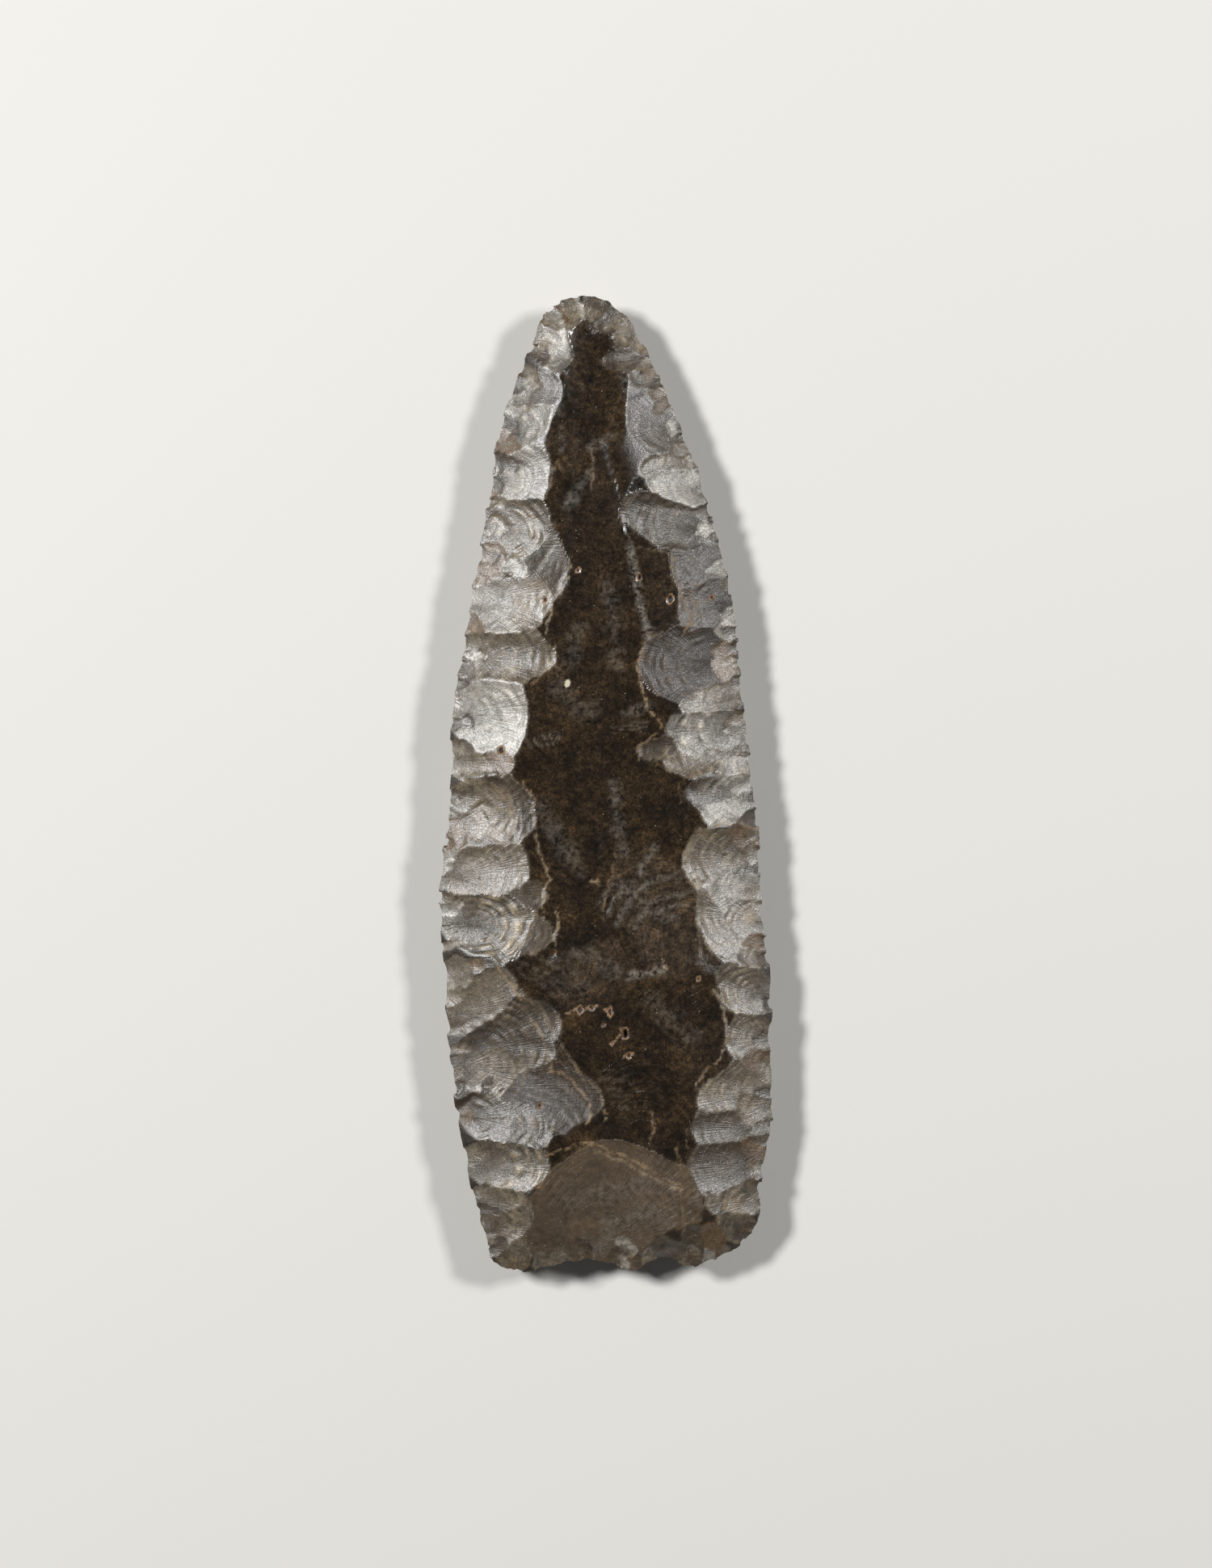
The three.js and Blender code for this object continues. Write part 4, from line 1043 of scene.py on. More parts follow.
    def bump(self, tree: bpy.types.NodeTree, read: Readings) -> Socket:
        """Adds the relief that is finer than the mesh: grain, hackles, fine ripples and saw-toothed waves.

        Args:
            tree: The material's node tree.
            read: What the material reads from the mesh.

        Returns:
            The normal of the surface.
        """
        drawn = add_node(tree, "ShaderNodeMapping", {}, {"Vector": read.flow, "Scale": self.hackle_stretch})
        hackles = add_node(tree, NOISE, {}, self.hackles.inputs(drawn.outputs[0])).outputs[0]
        grain = add_node(tree, NOISE, {}, self.grain.inputs(read.millimetres)).outputs[0]
        saw = add_node(
            tree,
            "ShaderNodeTexWave",
            {"wave_profile": "SAW"},
            {
                "Vector": read.flow,
                "Scale": self.saw_per_millimetre,
                "Distortion": self.saw_distortion,
                "Detail": self.saw_octaves,
                "Detail Scale": self.saw_octave_scale,
            },
        ).outputs[1]
        grain_height = add_node(tree, RANGE, {}, self.grain_height.inputs(read.frost)).outputs[0]
        relief = add_node(tree, MATH, TIMES, {0: grain, 1: grain_height}).outputs[0]
        hackle_height = add_node(tree, RANGE, {}, self.hackle_height.inputs(read.frost)).outputs[0]
        ripple_height = add_node(tree, MATH, TIMES, {0: read.rippled, 1: self.ripple_height}).outputs[0]
        saw_height = add_node(tree, MATH, TIMES, {0: read.rippled, 1: self.saw_height}).outputs[0]
        for pattern, height in ((hackles, hackle_height), (read.fine_ripples, ripple_height), (saw, saw_height)):
            relief = add_node(tree, MATH, TIMES_PLUS, {0: pattern, 1: height, 2: relief}).outputs[0]
        return add_node(
            tree, "ShaderNodeBump", {}, {"Height": relief, "Strength": 1.0, "Distance": METRES}
        ).outputs[0]

    def gloss(self, tree: bpy.types.NodeTree, read: Readings, held: Socket) -> Socket:
        """Makes the satin uneven: rougher with frost, along crests and under silt.

        Args:
            tree: The material's node tree.
            read: What the material reads from the mesh.
            held: The share of silt at each place.

        Returns:
            The roughness of the surface.
        """
        satin = Ramp(0.0, self.full_frost, self.roughness - self.polish, self.roughness + self.frosting)
        rough = add_node(tree, RANGE, {}, satin.inputs(read.frost)).outputs[0]
        mottled = add_node(tree, RANGE, {}, self.mottle_gloss.inputs(read.mottles)).outputs[0]
        dots = add_node(tree, RANGE, {}, self.stipple_gloss.inputs(read.stipple)).outputs[0]
        stippled = add_node(tree, MATH, TIMES, {0: read.frost, 1: dots}).outputs[0]
        crest_shading = add_node(tree, RANGE, {}, self.crest_gloss.inputs(read.crest)).outputs[0]
        for change in (mottled, stippled, crest_shading):
            rough = add_node(tree, MATH, {"operation": "ADD"}, {0: rough, 1: change}).outputs[0]
        return add_node(tree, MATH, TIMES_PLUS, {0: held, 1: self.silt_gloss, 2: rough}).outputs[0]


def linear(colour: str) -> tuple[float, float, float]:
    """An sRGB hex colour as linear values."""
    channels = [int(colour[i : i + 2], 16) / 255.0 for i in (1, 3, 5)]
    return tuple(c / 12.92 if c <= 0.04045 else ((c + 0.055) / 1.055) ** 2.4 for c in channels)


def opaque(colour: str) -> tuple[float, float, float, float]:
    """An sRGB hex colour as linear values with full opacity, as a colour socket takes it."""
    return (*linear(colour), 1.0)


def add_node(tree: bpy.types.NodeTree, kind: str, settings: dict, inputs: dict | None = None) -> bpy.types.Node:
    """Adds a node.

    Args:
        tree: The material's node tree.
        kind: Type of the node.
        settings: Properties to set on it.
        inputs: For each input, the socket that feeds it or its value.

    Returns:
        The node.
    """
    node = tree.nodes.new(kind)
    for name, value in settings.items():
        setattr(node, name, value)
    for name, value in (inputs or {}).items():
        if isinstance(value, bpy.types.NodeSocket):
            tree.links.new(value, node.inputs[name])
        else:
            node.inputs[name].default_value = value
    return node


def plain_material(name: str, roughness: float, ior: float = 1.5, colour: str = "#808080") -> tuple:
    """Makes a material with one even colour.

    Args:
        name: Name of the real material.
        roughness: Roughness of its surface.
        ior: Index of refraction.
        colour: sRGB hex colour.

    Returns:
        The material, its node tree and its shader node.
    """
    material = bpy.data.materials.new(name)
    material.use_nodes = True
    shader = material.node_tree.nodes["Principled BSDF"]
    shader.inputs["Base Color"].default_value = opaque(colour)
    shader.inputs["Roughness"].default_value = roughness
    shader.inputs["IOR"].default_value = ior
    return material, material.node_tree, shader


@dataclass
class KnappedFlint:
    """The stone: two flaked faces that meet in a sharp edge. Sizes are in millimetres."""

    blank: Blank = field(default_factory=Blank)
    finish: FlintFinish = field(default_factory=FlintFinish)
    overrun: float = 2.0
    obverse_spacing: float = 0.29
    reverse_spacing: float = 0.51
    cone_depth: float = 600.0
    margin_span_shares: tuple[float, float] = (8.0, 95.0)
    series_shares: tuple[Row, ...] = ((8, 1.0, 1.4), (10, 0.72, 1.15), (12, 0.34, 1.05))
    reach_cycle_shares: tuple[float, ...] = (1, 0.86, 1.08, 0.94, 0.8)
    breadth_cycle_shares: tuple[float, ...] = (1, 1.12, 0.88)
    slant_cycle_shares: tuple[float, ...] = (0.2, -0.35, 0.1, 0.3, -0.15, -0.25, 0.35)
    tone_cycle: tuple[str, ...] = ("g", "s", "b", "g", "n", "g", "b")
    struck_outside_share: float = 0.05
    nibbles: int = 120
    smooth_angle: float = 40.0
    nibble_seeds: tuple[int, int] = (11, 23)
    course_bound: float = 2.5
    course_wander: float = 0.3
    held_share: float = 0.75
    panel_blend: float = 0.07
    scar_blend: float = 0.03
    crest_width: float = 0.02
    end_width: float = 0.05
    plain_step: float = 0.9
    silt_per_step: float = 1.4
    most_end_silt: float = 0.6
    grain_per_ripple: float = 0.4
    feather_share: float = 0.8
    feathered_step: float = 0.5
    ripple_shade_per_ripple: float = 0.35
    # Painted highlight and shade: the tint is lighter on ripple crests and darker in their troughs.
    unshaded_ripple: float = 0.6
    ripple_shade_limits: tuple[float, float] = (0.5, 2.0)
    skin_frost: float = 0.8
    skin_tilt: tuple[float, float] = (0.1, 0.27)
    pit_wall: tuple[float, float] = (0.0, 0.03)
    pit_floor: tuple[float, float] = (0.07, 0.17)
    pattern_gap: float = 7.3

    def build(self) -> bpy.types.Object:
        """Strikes both faces, joins them and dresses the stone.

        Returns:
            The finished stone.
        """
        outline = Outline(self.blank)
        self.obverse = Face(self.blank, outline, self.blank.obverse_rise)
        self.reverse = Face(self.blank, outline, self.blank.reverse_rise)
        self.strike_obverse()
        self.strike_reverse()
        stone = self.face_solid(Side.OBVERSE, self.obverse_spacing)
        other = self.face_solid(Side.REVERSE, self.reverse_spacing)
        self.intersect(stone, other)
        self.trim(stone)
        stone.name = stone.data.name = "knapped_flint"
        self.paint(stone)
        self.settle_on_rest_face(stone)
        stone.data.materials.clear()
        stone.data.materials.append(self.finish.material())
        activate(stone)
        bpy.ops.object.shade_smooth_by_angle(angle=math.radians(self.smooth_angle))
        return stone

    def strike_obverse(self) -> None:
        """Strikes the obverse as the stone shows it: older flakes first, then younger ones and retouch."""
        for table in (
            PANEL_SHARES, OLDER_LEFT_SHARES, OLDER_RIGHT_SHARES, BASAL_SHARES,
            YOUNGER_LEFT_SHARES, YOUNGER_RIGHT_SHARES, RETOUCH_SHARES,
        ):
            self.obverse.strike_table(table)
        self.obverse.nibble(self.nibbles, self.nibble_seeds[0])

    def strike_reverse(self) -> None:
        """Strikes the reverse: its ends first, and then three series of flakes down both margins."""
        self.reverse.strike_table(REVERSE_END_SHARES)
        for series in self.series_shares:
            self.strike_margin(series, -1)
            self.strike_margin(series, 1)
        self.reverse.nibble(self.nibbles, self.nibble_seeds[1])

    def strike_margin(self, series: Row, side: int) -> None:
        """Strikes one series down one margin of the reverse, leaving the rest panel in the middle.

        Args:
            series: Number of flakes, and the shares of their reach and breadth.
            side: 1 for the right margin and -1 for the left one.
        """
        blank, face = self.blank, self.reverse
        flakes, reach_share, breadth_share = series
        low, high = (share * PERCENT * blank.length for share in self.margin_span_shares)
        pitch = (high - low) / flakes
        for i in range(flakes):
            cycle = i + (1 if side > 0 else 0)
            y = high - pitch * (i + 0.5)
            edge = face.outline.margin_at(y, side)
            half_width = abs(edge)
            past_panel = max(abs(y - blank.length / 2.0) - blank.rest_panel_length / 2.0, 0.0)
            from_panel = past_panel / (blank.length - blank.rest_panel_length)
            stop = blank.rest_panel_width / 2.0 * max(1.0 - 4.0 * from_panel, 0.0)
            reach = (half_width - stop) * reach_share * cyclic(self.reach_cycle_shares, cycle)
            start = np.array([edge + side * half_width * self.struck_outside_share, y])
            to = np.array([side * max(half_width - reach, stop), y + pitch * cyclic(self.slant_cycle_shares, cycle)])
            taper = math.sqrt(2.0 * half_width / blank.width)
            breadth = pitch * taper * breadth_share * cyclic(self.breadth_cycle_shares, cycle)
            face.strike(start, to, breadth, (1.0, 1.0, 0.7, cyclic(self.tone_cycle, 3 * cycle + flakes)))

    def face_solid(self, side: Side, spacing: float) -> bpy.types.Object:
        """A solid with one face of the stone on its outer side, closed far past the other face.

        Args:
            side: Which face.
            spacing: Distance between the vertices of the face, in millimetres.

        Returns:
            The solid. Its y runs from the base of the blank.
        """
        span_x, span_y = self.blank.width + 2.0 * self.overrun, self.blank.length + 2.0 * self.overrun
        bpy.ops.object.select_all(action="DESELECT")
        bpy.ops.mesh.primitive_grid_add(
            x_subdivisions=round(span_x / spacing), y_subdivisions=round(span_y / spacing), size=1.0
        )
        solid = bpy.context.object
        places = coordinates(solid)
        x, y = places[:, 0] * span_x, places[:, 1] * span_y + self.blank.length / 2.0
        face = self.obverse if side is Side.OBVERSE else self.reverse
        height = face.survey(x, y)[0]
        if side is Side.OBVERSE:
            height -= self.carving(x, y)
        move_vertices(solid, np.column_stack([x, y, side.value * height]) * METRES)
        bpy.ops.object.mode_set(mode="EDIT")
        bpy.ops.mesh.select_mode(type="EDGE")
        bpy.ops.mesh.select_all(action="DESELECT")
        bpy.ops.mesh.select_non_manifold()
        depth = -side.value * self.cone_depth * METRES
        bpy.ops.mesh.extrude_edges_move(TRANSFORM_OT_translate={"value": (0.0, 0.0, depth)})
        bpy.ops.mesh.merge(type="CENTER")
        bpy.ops.mesh.select_all(action="SELECT")
        bpy.ops.mesh.normals_make_consistent(inside=False)
        bpy.ops.object.mode_set(mode="OBJECT")
        return solid

    def pits(self, x: Floats, y: Floats) -> Floats:
        """Depth of the pits at places of the obverse.

        Args:
            x: Places in plan, in millimetres.
            y: Places in plan, in millimetres.

        Returns:
            The depths in millimetres.
        """
        depth = np.zeros(x.shape)
        for i, (x_share, y_share, half_length, half_breadth, deep) in enumerate(PIT_SHARES):
            px, py = self.blank.place(x_share, y_share)
            u = (x - px + 0.12 * wander(2.0 * x, 2.0 * y, i)) / half_breadth
            v = (y - py + 0.12 * wander(2.0 * y, 2.0 * x, i)) / half_length
            depth = np.maximum(depth, deep * (1.0 - smooth_step(0.3, 1.0, np.hypot(u, v))))
        return depth

    def crests(self, x: Floats, y: Floats) -> tuple[Floats, Floats]:
        """Depth at the foot of the crests of the obverse, and the silt that lies there.

        Args:
            x: Places in plan, in millimetres.
            y: Places in plan, in millimetres.

        Returns:
            The depths in millimetres, and the shares of silt.
        """
        depth, silt = np.zeros(x.shape), np.zeros(x.shape)
        for i, (step, held, *course) in enumerate(CREST_SHARES):
            points = np.array([self.blank.place(*point) for point in course])
            low, high = points.min(axis=0) - self.course_bound, points.max(axis=0) + self.course_bound
            near = np.flatnonzero((x > low[0]) & (x < high[0]) & (y > low[1]) & (y < high[1]))
            px, py = x[near], y[near]
            away = signed_distance(px, py, points) * math.copysign(1.0, step)
            near_course = smooth_step(3.0, 0.5, np.abs(away))
            away += self.course_wander * wander(2.2 * px, 2.2 * py, 1.9 * i) * near_course
            foot = smooth_step(-0.16, 0.16, away) * (1.0 - smooth_step(0.1, 2.0, away))
            depth[near] = np.maximum(depth[near], abs(step) * foot)
            here = 1.0 - smooth_step(0.06, 0.3, np.abs(away))
            silt[near] = np.maximum(silt[near], self.held_share * held * here)
        return depth, silt

    def veins(self, x: Floats, y: Floats) -> Floats:
        """Strength of the pale veins at places of the obverse, a few of which are painted highlights on old ridges.

        Args:
            x: Places in plan, in millimetres.
            y: Places in plan, in millimetres.

        Returns:
            The strengths: 0 away from a vein, and above 1 in a fleck.
        """
        strength = np.zeros(x.shape)
        for i, (from_x, from_y, to_x, to_y, half_breadth, pale) in enumerate(VEIN_SHARES):
            points = np.array([self.blank.place(from_x, from_y), self.blank.place(to_x, to_y)])
            away = np.abs(signed_distance(x, y, points)) + 0.5 * half_breadth * wander(x, y, 2.7 * i)
            strength = np.maximum(strength, pale * (1.0 - smooth_step(0.0, half_breadth, away)))
        return strength

    def waves(self, x: Floats, y: Floats) -> tuple[Floats, Floats]:
        """Height of the shock waves at places of the obverse, and how pale their crests are painted, a painted
        highlight.

        Args:
            x: Places in plan, in millimetres.
            y: Places in plan, in millimetres.

        Returns:
            The heights in millimetres, and the shares of paleness, which is painted highlight.
        """
        height, paleness = np.zeros(x.shape), np.zeros(x.shape)
        for i, (from_x, from_y, *ends, half_breadth, spacing, high, pale) in enumerate(WAVE_SHARES):
            source = self.blank.place(from_x, from_y)
            strip = np.array([self.blank.place(*ends[:2]), self.blank.place(*ends[2:])])
            aside = np.abs(signed_distance(x, y, strip)) + 0.3 * half_breadth * wander(x, y, 1.1 * i)
            here = 1.0 - smooth_step(0.6, 1.0, aside / half_breadth)
            turns = (np.hypot(x - source[0], y - source[1]) + 0.3 * wander(x, y, 3.3 * i)) / spacing
            turns = turns + 0.2 * np.sin(2.1 * turns + i)
            crest = (0.5 + 0.5 * np.cos(2.0 * math.pi * turns)) ** 2 * here
            height = np.maximum(height, high * crest)
            paleness = np.maximum(paleness, pale * crest)
        return height, paleness

    def stains(self, x: Floats, y: Floats) -> Floats:
        """Strength of the iron stains at places of the obverse.

        Args:
            x: Places in plan, in millimetres.
            y: Places in plan, in millimetres.

        Returns:
            The strengths, from 0 to 1.
        """
        strength = np.zeros(x.shape)
        for i, (x_share, y_share, half_breadth, half_length, strong) in enumerate(STAIN_SHARES):
            px, py = self.blank.place(x_share, y_share)
            away = np.hypot((x - px) / half_breadth, (y - py) / half_length) + 0.3 * wander(x, y, 2.9 * i)
            strength = np.maximum(strength, strong * (1.0 - smooth_step(0.3, 1.1, away)))
        return strength

    def carving(self, x: Floats, y: Floats) -> Floats:
        """Depth of the pits and of the feet of crests, less the height of the waves, on the obverse."""
        return self.pits(x, y) + self.crests(x, y)[0] - self.waves(x, y)[0]

    def intersect(self, stone: bpy.types.Object, other: bpy.types.Object) -> None:
        """Keeps what two solids share, in the first, and removes the second.

        Args:
            stone: The solid that is kept.
            other: The solid that it is cut with.
        """
        activate(stone)
        cut = stone.modifiers.new("other_face", "BOOLEAN")
        cut.operation = "INTERSECT"
        cut.solver = "MANIFOLD"
        cut.object = other
        bpy.ops.object.modifier_apply(modifier=cut.name)
        bpy.data.objects.remove(other)

    def trim(self, stone: bpy.types.Object) -> None:
        """Deletes the crumbs that the cut leaves off the sharp edge: all that doesn't hang together with the top.

        Args:
            stone: The joined stone.
        """
        activate(stone)
        bpy.ops.object.mode_set(mode="EDIT")
        bpy.ops.mesh.select_mode(type="VERT")
        bpy.ops.mesh.select_all(action="DESELECT")
        bpy.ops.object.mode_set(mode="OBJECT")
        stone.data.vertices[int(coordinates(stone)[:, 2].argmax())].select = True
        bpy.ops.object.mode_set(mode="EDIT")
        bpy.ops.mesh.select_linked()
        bpy.ops.mesh.select_all(action="INVERT")
        bpy.ops.mesh.delete(type="VERT")
        bpy.ops.object.mode_set(mode="OBJECT")

    def paint(self, stone: bpy.types.Object) -> None:
        """Gives the mesh its colours, with painted highlight and shade along the ripples and wave crests, its
        weathering and the direction in which each scar runs.

        Args:
            stone: The joined stone, before it is moved to its place.
        """
        places = coordinates(stone) / METRES
        x, y, _ = places.T
        on_top, clearance, owner, neighbour = self.openings(places)
        tint = np.zeros((len(x), 3))
        weather_and_shade, grain = np.zeros((len(x), 4)), np.zeros(len(x))
        blend = np.where(on_top & (owner <= len(PANEL_SHARES)), self.panel_blend, self.scar_blend)
        near_crest = 0.5 * np.exp(-clearance / blend)[:, None]
        for face, shown in ((self.obverse, on_top), (self.reverse, ~on_top)):
            looks = self.finish.scar_looks(face.scars)
            look = looks[owner[shown]] + (looks[neighbour[shown]] - looks[owner[shown]]) * near_crest[shown]
            tint[shown], weather_and_shade[shown, 3], grain[shown] = look[:, :3], look[:, 3], look[:, 4]
            # Red: closeness to the crest of the next scar, which the material paints as a dark line of shade and
            # roughens.
            weather_and_shade[shown, 0] = np.exp(-clearance[shown] / self.crest_width) * (owner[shown] > len(PANEL_SHARES))
            for scar in face.scars:
                here = np.flatnonzero(shown & (owner == scar.index))
                u, _ = scar.shares(x[here], y[here])
                end = np.exp(-clearance[here] / self.end_width) * smooth_step(-0.1, 0.5, u)
                stepped = max(scar.step - self.plain_step, 0.0) * self.silt_per_step
                weather_and_shade[here, 1] = end * min(stepped, self.most_end_silt)
                rippled = grain[here] + self.grain_per_ripple * scar.ripple
                weather_and_shade[here, 2] = rippled * scar.fading(x[here], y[here])
                thinned = self.feather_share * (1.0 - min(scar.step / self.feathered_step, 1.0))
                tint[here] += thinned * smooth_step(-0.1, 0.9, u)[:, None] * (looks[0, :3] - tint[here])
                # Painted highlight and shade: the tint is lighter on the ripple crests and darker in the troughs.
                raised = scar.ripples(x[here], y[here]) - self.unshaded_ripple
                crest_shading = 1.0 + self.ripple_shade_per_ripple * scar.ripple * raised
                tint[here] *= np.clip(crest_shading, *self.ripple_shade_limits)[:, None]
        skin_frost = self.skin_frost * smooth_step(*self.skin_tilt, self.slope(stone)) * (owner == 0)
        weather_and_shade[:, 3] = np.maximum(weather_and_shade[:, 3], skin_frost)
        pit_depth = self.pits(x, y) * on_top
        # Deep in a pit the share climbs past 1, and the material paints it dark: painted shade in the hole.
        in_pit = smooth_step(*self.pit_wall, pit_depth) + 0.5 * smooth_step(*self.pit_floor, pit_depth)
        silt = np.maximum(self.crests(x, y)[1], in_pit)
        weather_and_shade[:, 1] = np.maximum(weather_and_shade[:, 1], silt * on_top)
        stain = (self.stains(x, y) * on_top)[:, None]
        tint += stain * (np.array(linear(self.finish.crust)) - tint)
        # Paleness: real veins and clouds, plus painted highlights on old ridges and on the wave crests.
        pale = np.maximum(self.veins(x, y), self.waves(x, y)[1])
        store(stone, "tint", "FLOAT_COLOR", np.column_stack([tint, pale * on_top]))
        store(stone, "weather_and_shade", "FLOAT_COLOR", np.clip(weather_and_shade, 0.0, 2.0))
        self.lay_flow(stone, places)

    def slope(self, stone: bpy.types.Object) -> Floats:
        """How far the surface leans from the level at each vertex: 0 where it is level and 1 where it is upright.

        Args:
            stone: The joined stone.

        Returns:
            One value for each vertex.
        """
        normals = np.empty(len(stone.data.vertices) * 3)
        stone.data.vertices.foreach_get("normal", normals)
        return np.hypot(normals[0::3], normals[1::3])

    def openings(self, places: Floats) -> tuple[Floats, Floats, Floats, Floats]:
        """Which scar is open at places on the surface of the stone.

        Args:
            places: Places in millimetres, one row each.

        Returns:
            Whether each place is on the obverse, how far the next surface lies over it, and the indexes of its
            scar and the next one.
        """
        x, y, z = places.T
        upper, lower = self.obverse.survey(x, y), self.reverse.survey(x, y)
        top = upper[0] - self.carving(x, y)
        on_top = np.abs(z - top) < np.abs(z + lower[0])
        return on_top, *(np.where(on_top, above, below) for above, below in zip(upper[1:], lower[1:]))

    def lay_flow(self, stone: bpy.types.Object, places: Floats) -> None:
        """Stores the distances from the platform and across the blow at every corner of every face.

        A face lies in one scar, so that the pattern breaks off at the crest between two scars, as a fracture does.

        Args:
            stone: The joined stone, before it is moved to its place.
            places: The places of its vertices in millimetres.
        """
        polygons = stone.data.polygons
        centres = np.empty(len(polygons) * 3)
        polygons.foreach_get("center", centres)
        on_top, _, owner, _ = self.openings(centres.reshape(-1, 3) / METRES)
        corners = np.empty(len(stone.data.loops), dtype=np.int32)
        stone.data.loops.foreach_get("vertex_index", corners)
        totals = np.empty(len(polygons), dtype=np.int32)
        polygons.foreach_get("loop_total", totals)
        on_top, owner = np.repeat(on_top, totals), np.repeat(owner, totals)
        x, y, _ = places[corners].T
        flow = np.column_stack([x, y, np.zeros(len(x))])
        for face, shown in ((self.obverse, on_top), (self.reverse, ~on_top)):
            for scar in face.scars:
                here = np.flatnonzero(shown & (owner == scar.index))
                away, across = scar.flow(x[here], y[here])
                flow[here] = np.column_stack([away, across, np.full(len(here), self.pattern_gap * scar.index)])
        store(stone, "flow", "FLOAT_VECTOR", flow, "CORNER")

    def settle_on_rest_face(self, stone: bpy.types.Object) -> None:
        """Moves the stone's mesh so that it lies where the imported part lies.

        Args:
            stone: The finished stone.
        """
        places = coordinates(stone)
        low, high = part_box("flint_biface")
        shift = (np.array(low) + np.array(high) - places.min(axis=0) - places.max(axis=0)) / 2.0
        shift[2] = low[2] - places[:, 2].min()
        move_vertices(stone, places + shift)


def signed_distance(x: Floats, y: Floats, points: Floats) -> Floats:
    """Distance from places to a course of points, positive on its right hand.

    Args:
        x: Places in plan.
        y: Places in plan.
        points: The course, one row for each point.

    Returns:
        The signed distances.
    """
    nearest = np.full(x.shape, np.inf)
    for (ax, ay), (bx, by) in zip(points[:-1], points[1:]):
        dx, dy = bx - ax, by - ay
        share = np.clip(((x - ax) * dx + (y - ay) * dy) / (dx * dx + dy * dy), 0.0, 1.0)
        away = np.hypot(x - ax - share * dx, y - ay - share * dy)
        right_hand = np.where(dy * (x - ax) - dx * (y - ay) >= 0.0, 1.0, -1.0)
        nearest = np.where(away < np.abs(nearest), away * right_hand, nearest)
    return nearest


def cyclic(values: tuple, count: int) -> float | str:
    """The entry of a cycle at a count that may run past its end."""
    return values[count % len(values)]


def activate(piece: bpy.types.Object) -> None:
    """Selects one object alone and makes it the active one.

    Args:
        piece: The object.
    """
    bpy.ops.object.select_all(action="DESELECT")
    piece.select_set(True)
    bpy.context.view_layer.objects.active = piece


def coordinates(piece: bpy.types.Object) -> Floats:
    """The places of an object's vertices, one row each.

    Args:
        piece: The object.

    Returns:
        The places in metres.
    """
    values = np.empty(len(piece.data.vertices) * 3)
    piece.data.vertices.foreach_get("co", values)
    return values.reshape(-1, 3)


def move_vertices(piece: bpy.types.Object, places: Floats) -> None:
    """Sets the places of an object's vertices."""
    piece.data.vertices.foreach_set("co", places.ravel())
    piece.data.update()


def store(piece: bpy.types.Object, name: str, kind: str, values: Floats, domain: str = "POINT") -> None:
    """Stores one value for each vertex or corner of an object as a named attribute."""
    attribute = piece.data.attributes.new(name, kind, domain)
    attribute.data.foreach_set("color" if kind == "FLOAT_COLOR" else "vector", values.ravel())


@dataclass(frozen=True)
class StudioFloor:
    """A plain pale floor of painted board. Sizes are in metres."""

    size: float = 9.0
    colour: str = "#e4e2dd"
    roughness: float = 0.9

    def build(self) -> bpy.types.Object:
        """Lays the floor under the stone.

        Returns:
            The floor.
        """
        bpy.ops.object.select_all(action="DESELECT")
        bpy.ops.mesh.primitive_plane_add(size=self.size)
        floor = bpy.context.object
        floor.name = floor.data.name = "studio_floor"
        floor.data.materials.append(plain_material("painted board, matt", self.roughness, colour=self.colour)[0])
        return floor


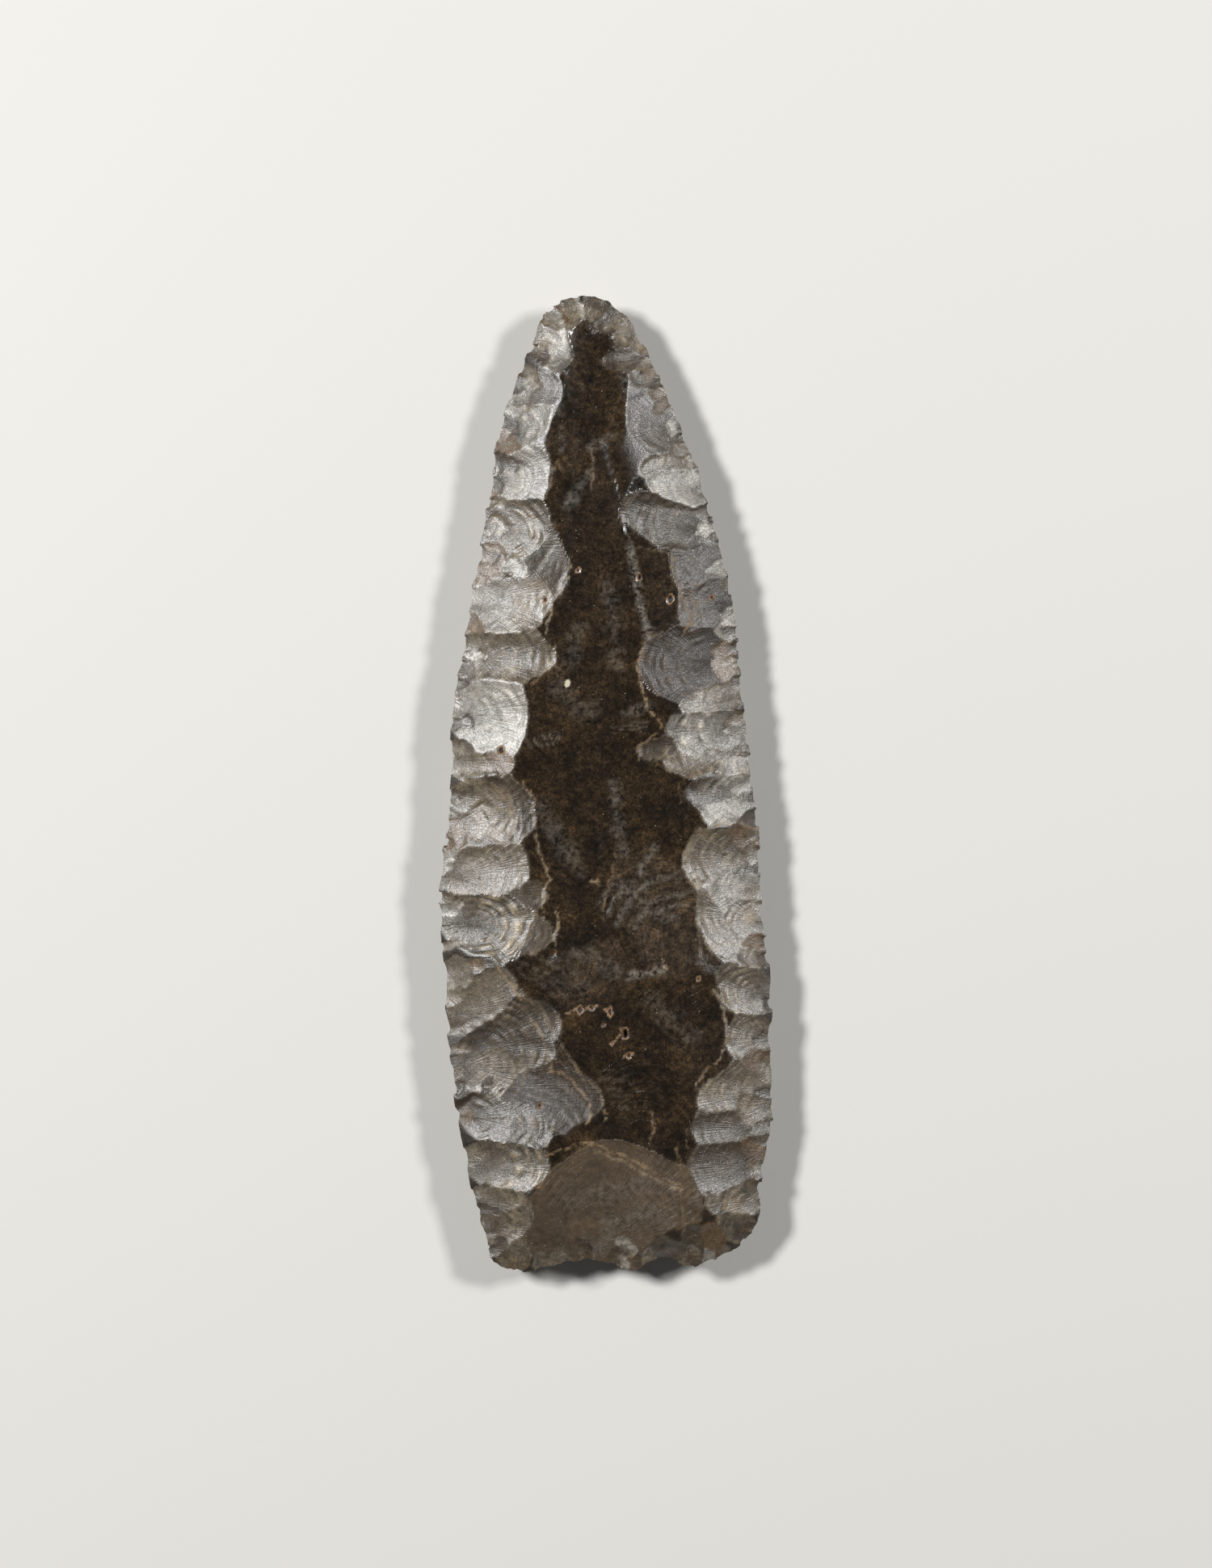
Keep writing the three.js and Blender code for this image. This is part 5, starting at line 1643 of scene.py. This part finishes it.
@dataclass(frozen=True)
class SoftBox:
    """One soft box: where it stands round the stone, and its size in metres."""

    name: str
    azimuth: float
    from_vertical: float
    distance: float
    breadth: float
    height: float
    power: float

    def build(self) -> bpy.types.Object:
        """Hangs the lamp and turns it towards the stone.

        Returns:
            The lamp.
        """
        turn, tilt = math.radians(self.azimuth), math.radians(self.from_vertical)
        lamp = bpy.data.lights.new(self.name, "AREA")
        lamp.shape = "RECTANGLE"
        lamp.size, lamp.size_y = self.breadth, self.height
        lamp.energy = self.power
        holder = bpy.data.objects.new(self.name, lamp)
        bpy.context.collection.objects.link(holder)
        reach = self.distance * math.sin(tilt)
        holder.location = (reach * math.cos(turn), reach * math.sin(turn), self.distance * math.cos(tilt))
        holder.rotation_euler = (0.0, tilt, turn)
        return holder


@dataclass(frozen=True)
class Studio:
    """Plain soft studio light: a soft box on either side and an even surround."""

    surround: float = 0.06
    boxes: tuple[SoftBox, ...] = (
        SoftBox("soft_box_left", 157.0, 48.0, 1.2, 0.16, 0.26, 13.2),
        SoftBox("soft_box_right", 22.0, 52.0, 1.2, 0.16, 0.26, 8.5),
    )

    def build(self) -> None:
        """Lights the scene."""
        world = bpy.data.worlds.new("studio surround")
        world.use_nodes = True
        world.node_tree.nodes["Background"].inputs["Strength"].default_value = self.surround
        world.node_tree.nodes["Background"].inputs["Color"].default_value = (1.0, 1.0, 1.0, 1.0)
        bpy.context.scene.world = world
        for box in self.boxes:
            box.build()


@dataclass(frozen=True)
class Photograph:
    """The camera of the photograph: straight over the stone. Sizes are in millimetres."""

    frame_height: float = 240.6
    lens: float = 120.0
    sensor_height: float = 36.0
    plane_height: float = 5.0

    def build(self) -> bpy.types.Object:
        """Sets the camera up and makes it the scene's camera.

        Returns:
            The camera.
        """
        camera = bpy.data.cameras.new("photograph")
        camera.sensor_fit = "VERTICAL"
        camera.sensor_height = self.sensor_height
        camera.lens = self.lens
        holder = bpy.data.objects.new("photograph", camera)
        bpy.context.collection.objects.link(holder)
        distance = self.frame_height * self.lens / self.sensor_height
        holder.location = (0.0, 0.0, (distance + self.plane_height) * METRES)
        bpy.context.scene.camera = holder
        bpy.context.scene.view_settings.view_transform = "Standard"
        return holder


def main() -> None:
    """Builds the stone and its studio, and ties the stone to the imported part."""
    logging.basicConfig(level=logging.INFO, format="%(message)s")
    stone = KnappedFlint().build()
    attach(stone, "root")
    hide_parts("flint_biface")
    LOG.info("%s: %d faces", stone.name, len(stone.data.polygons))
    floor = StudioFloor().build()
    LOG.info("%s: pale board", floor.name)
    Studio().build()
    Photograph().build()


if __name__ == "__main__":
    main()
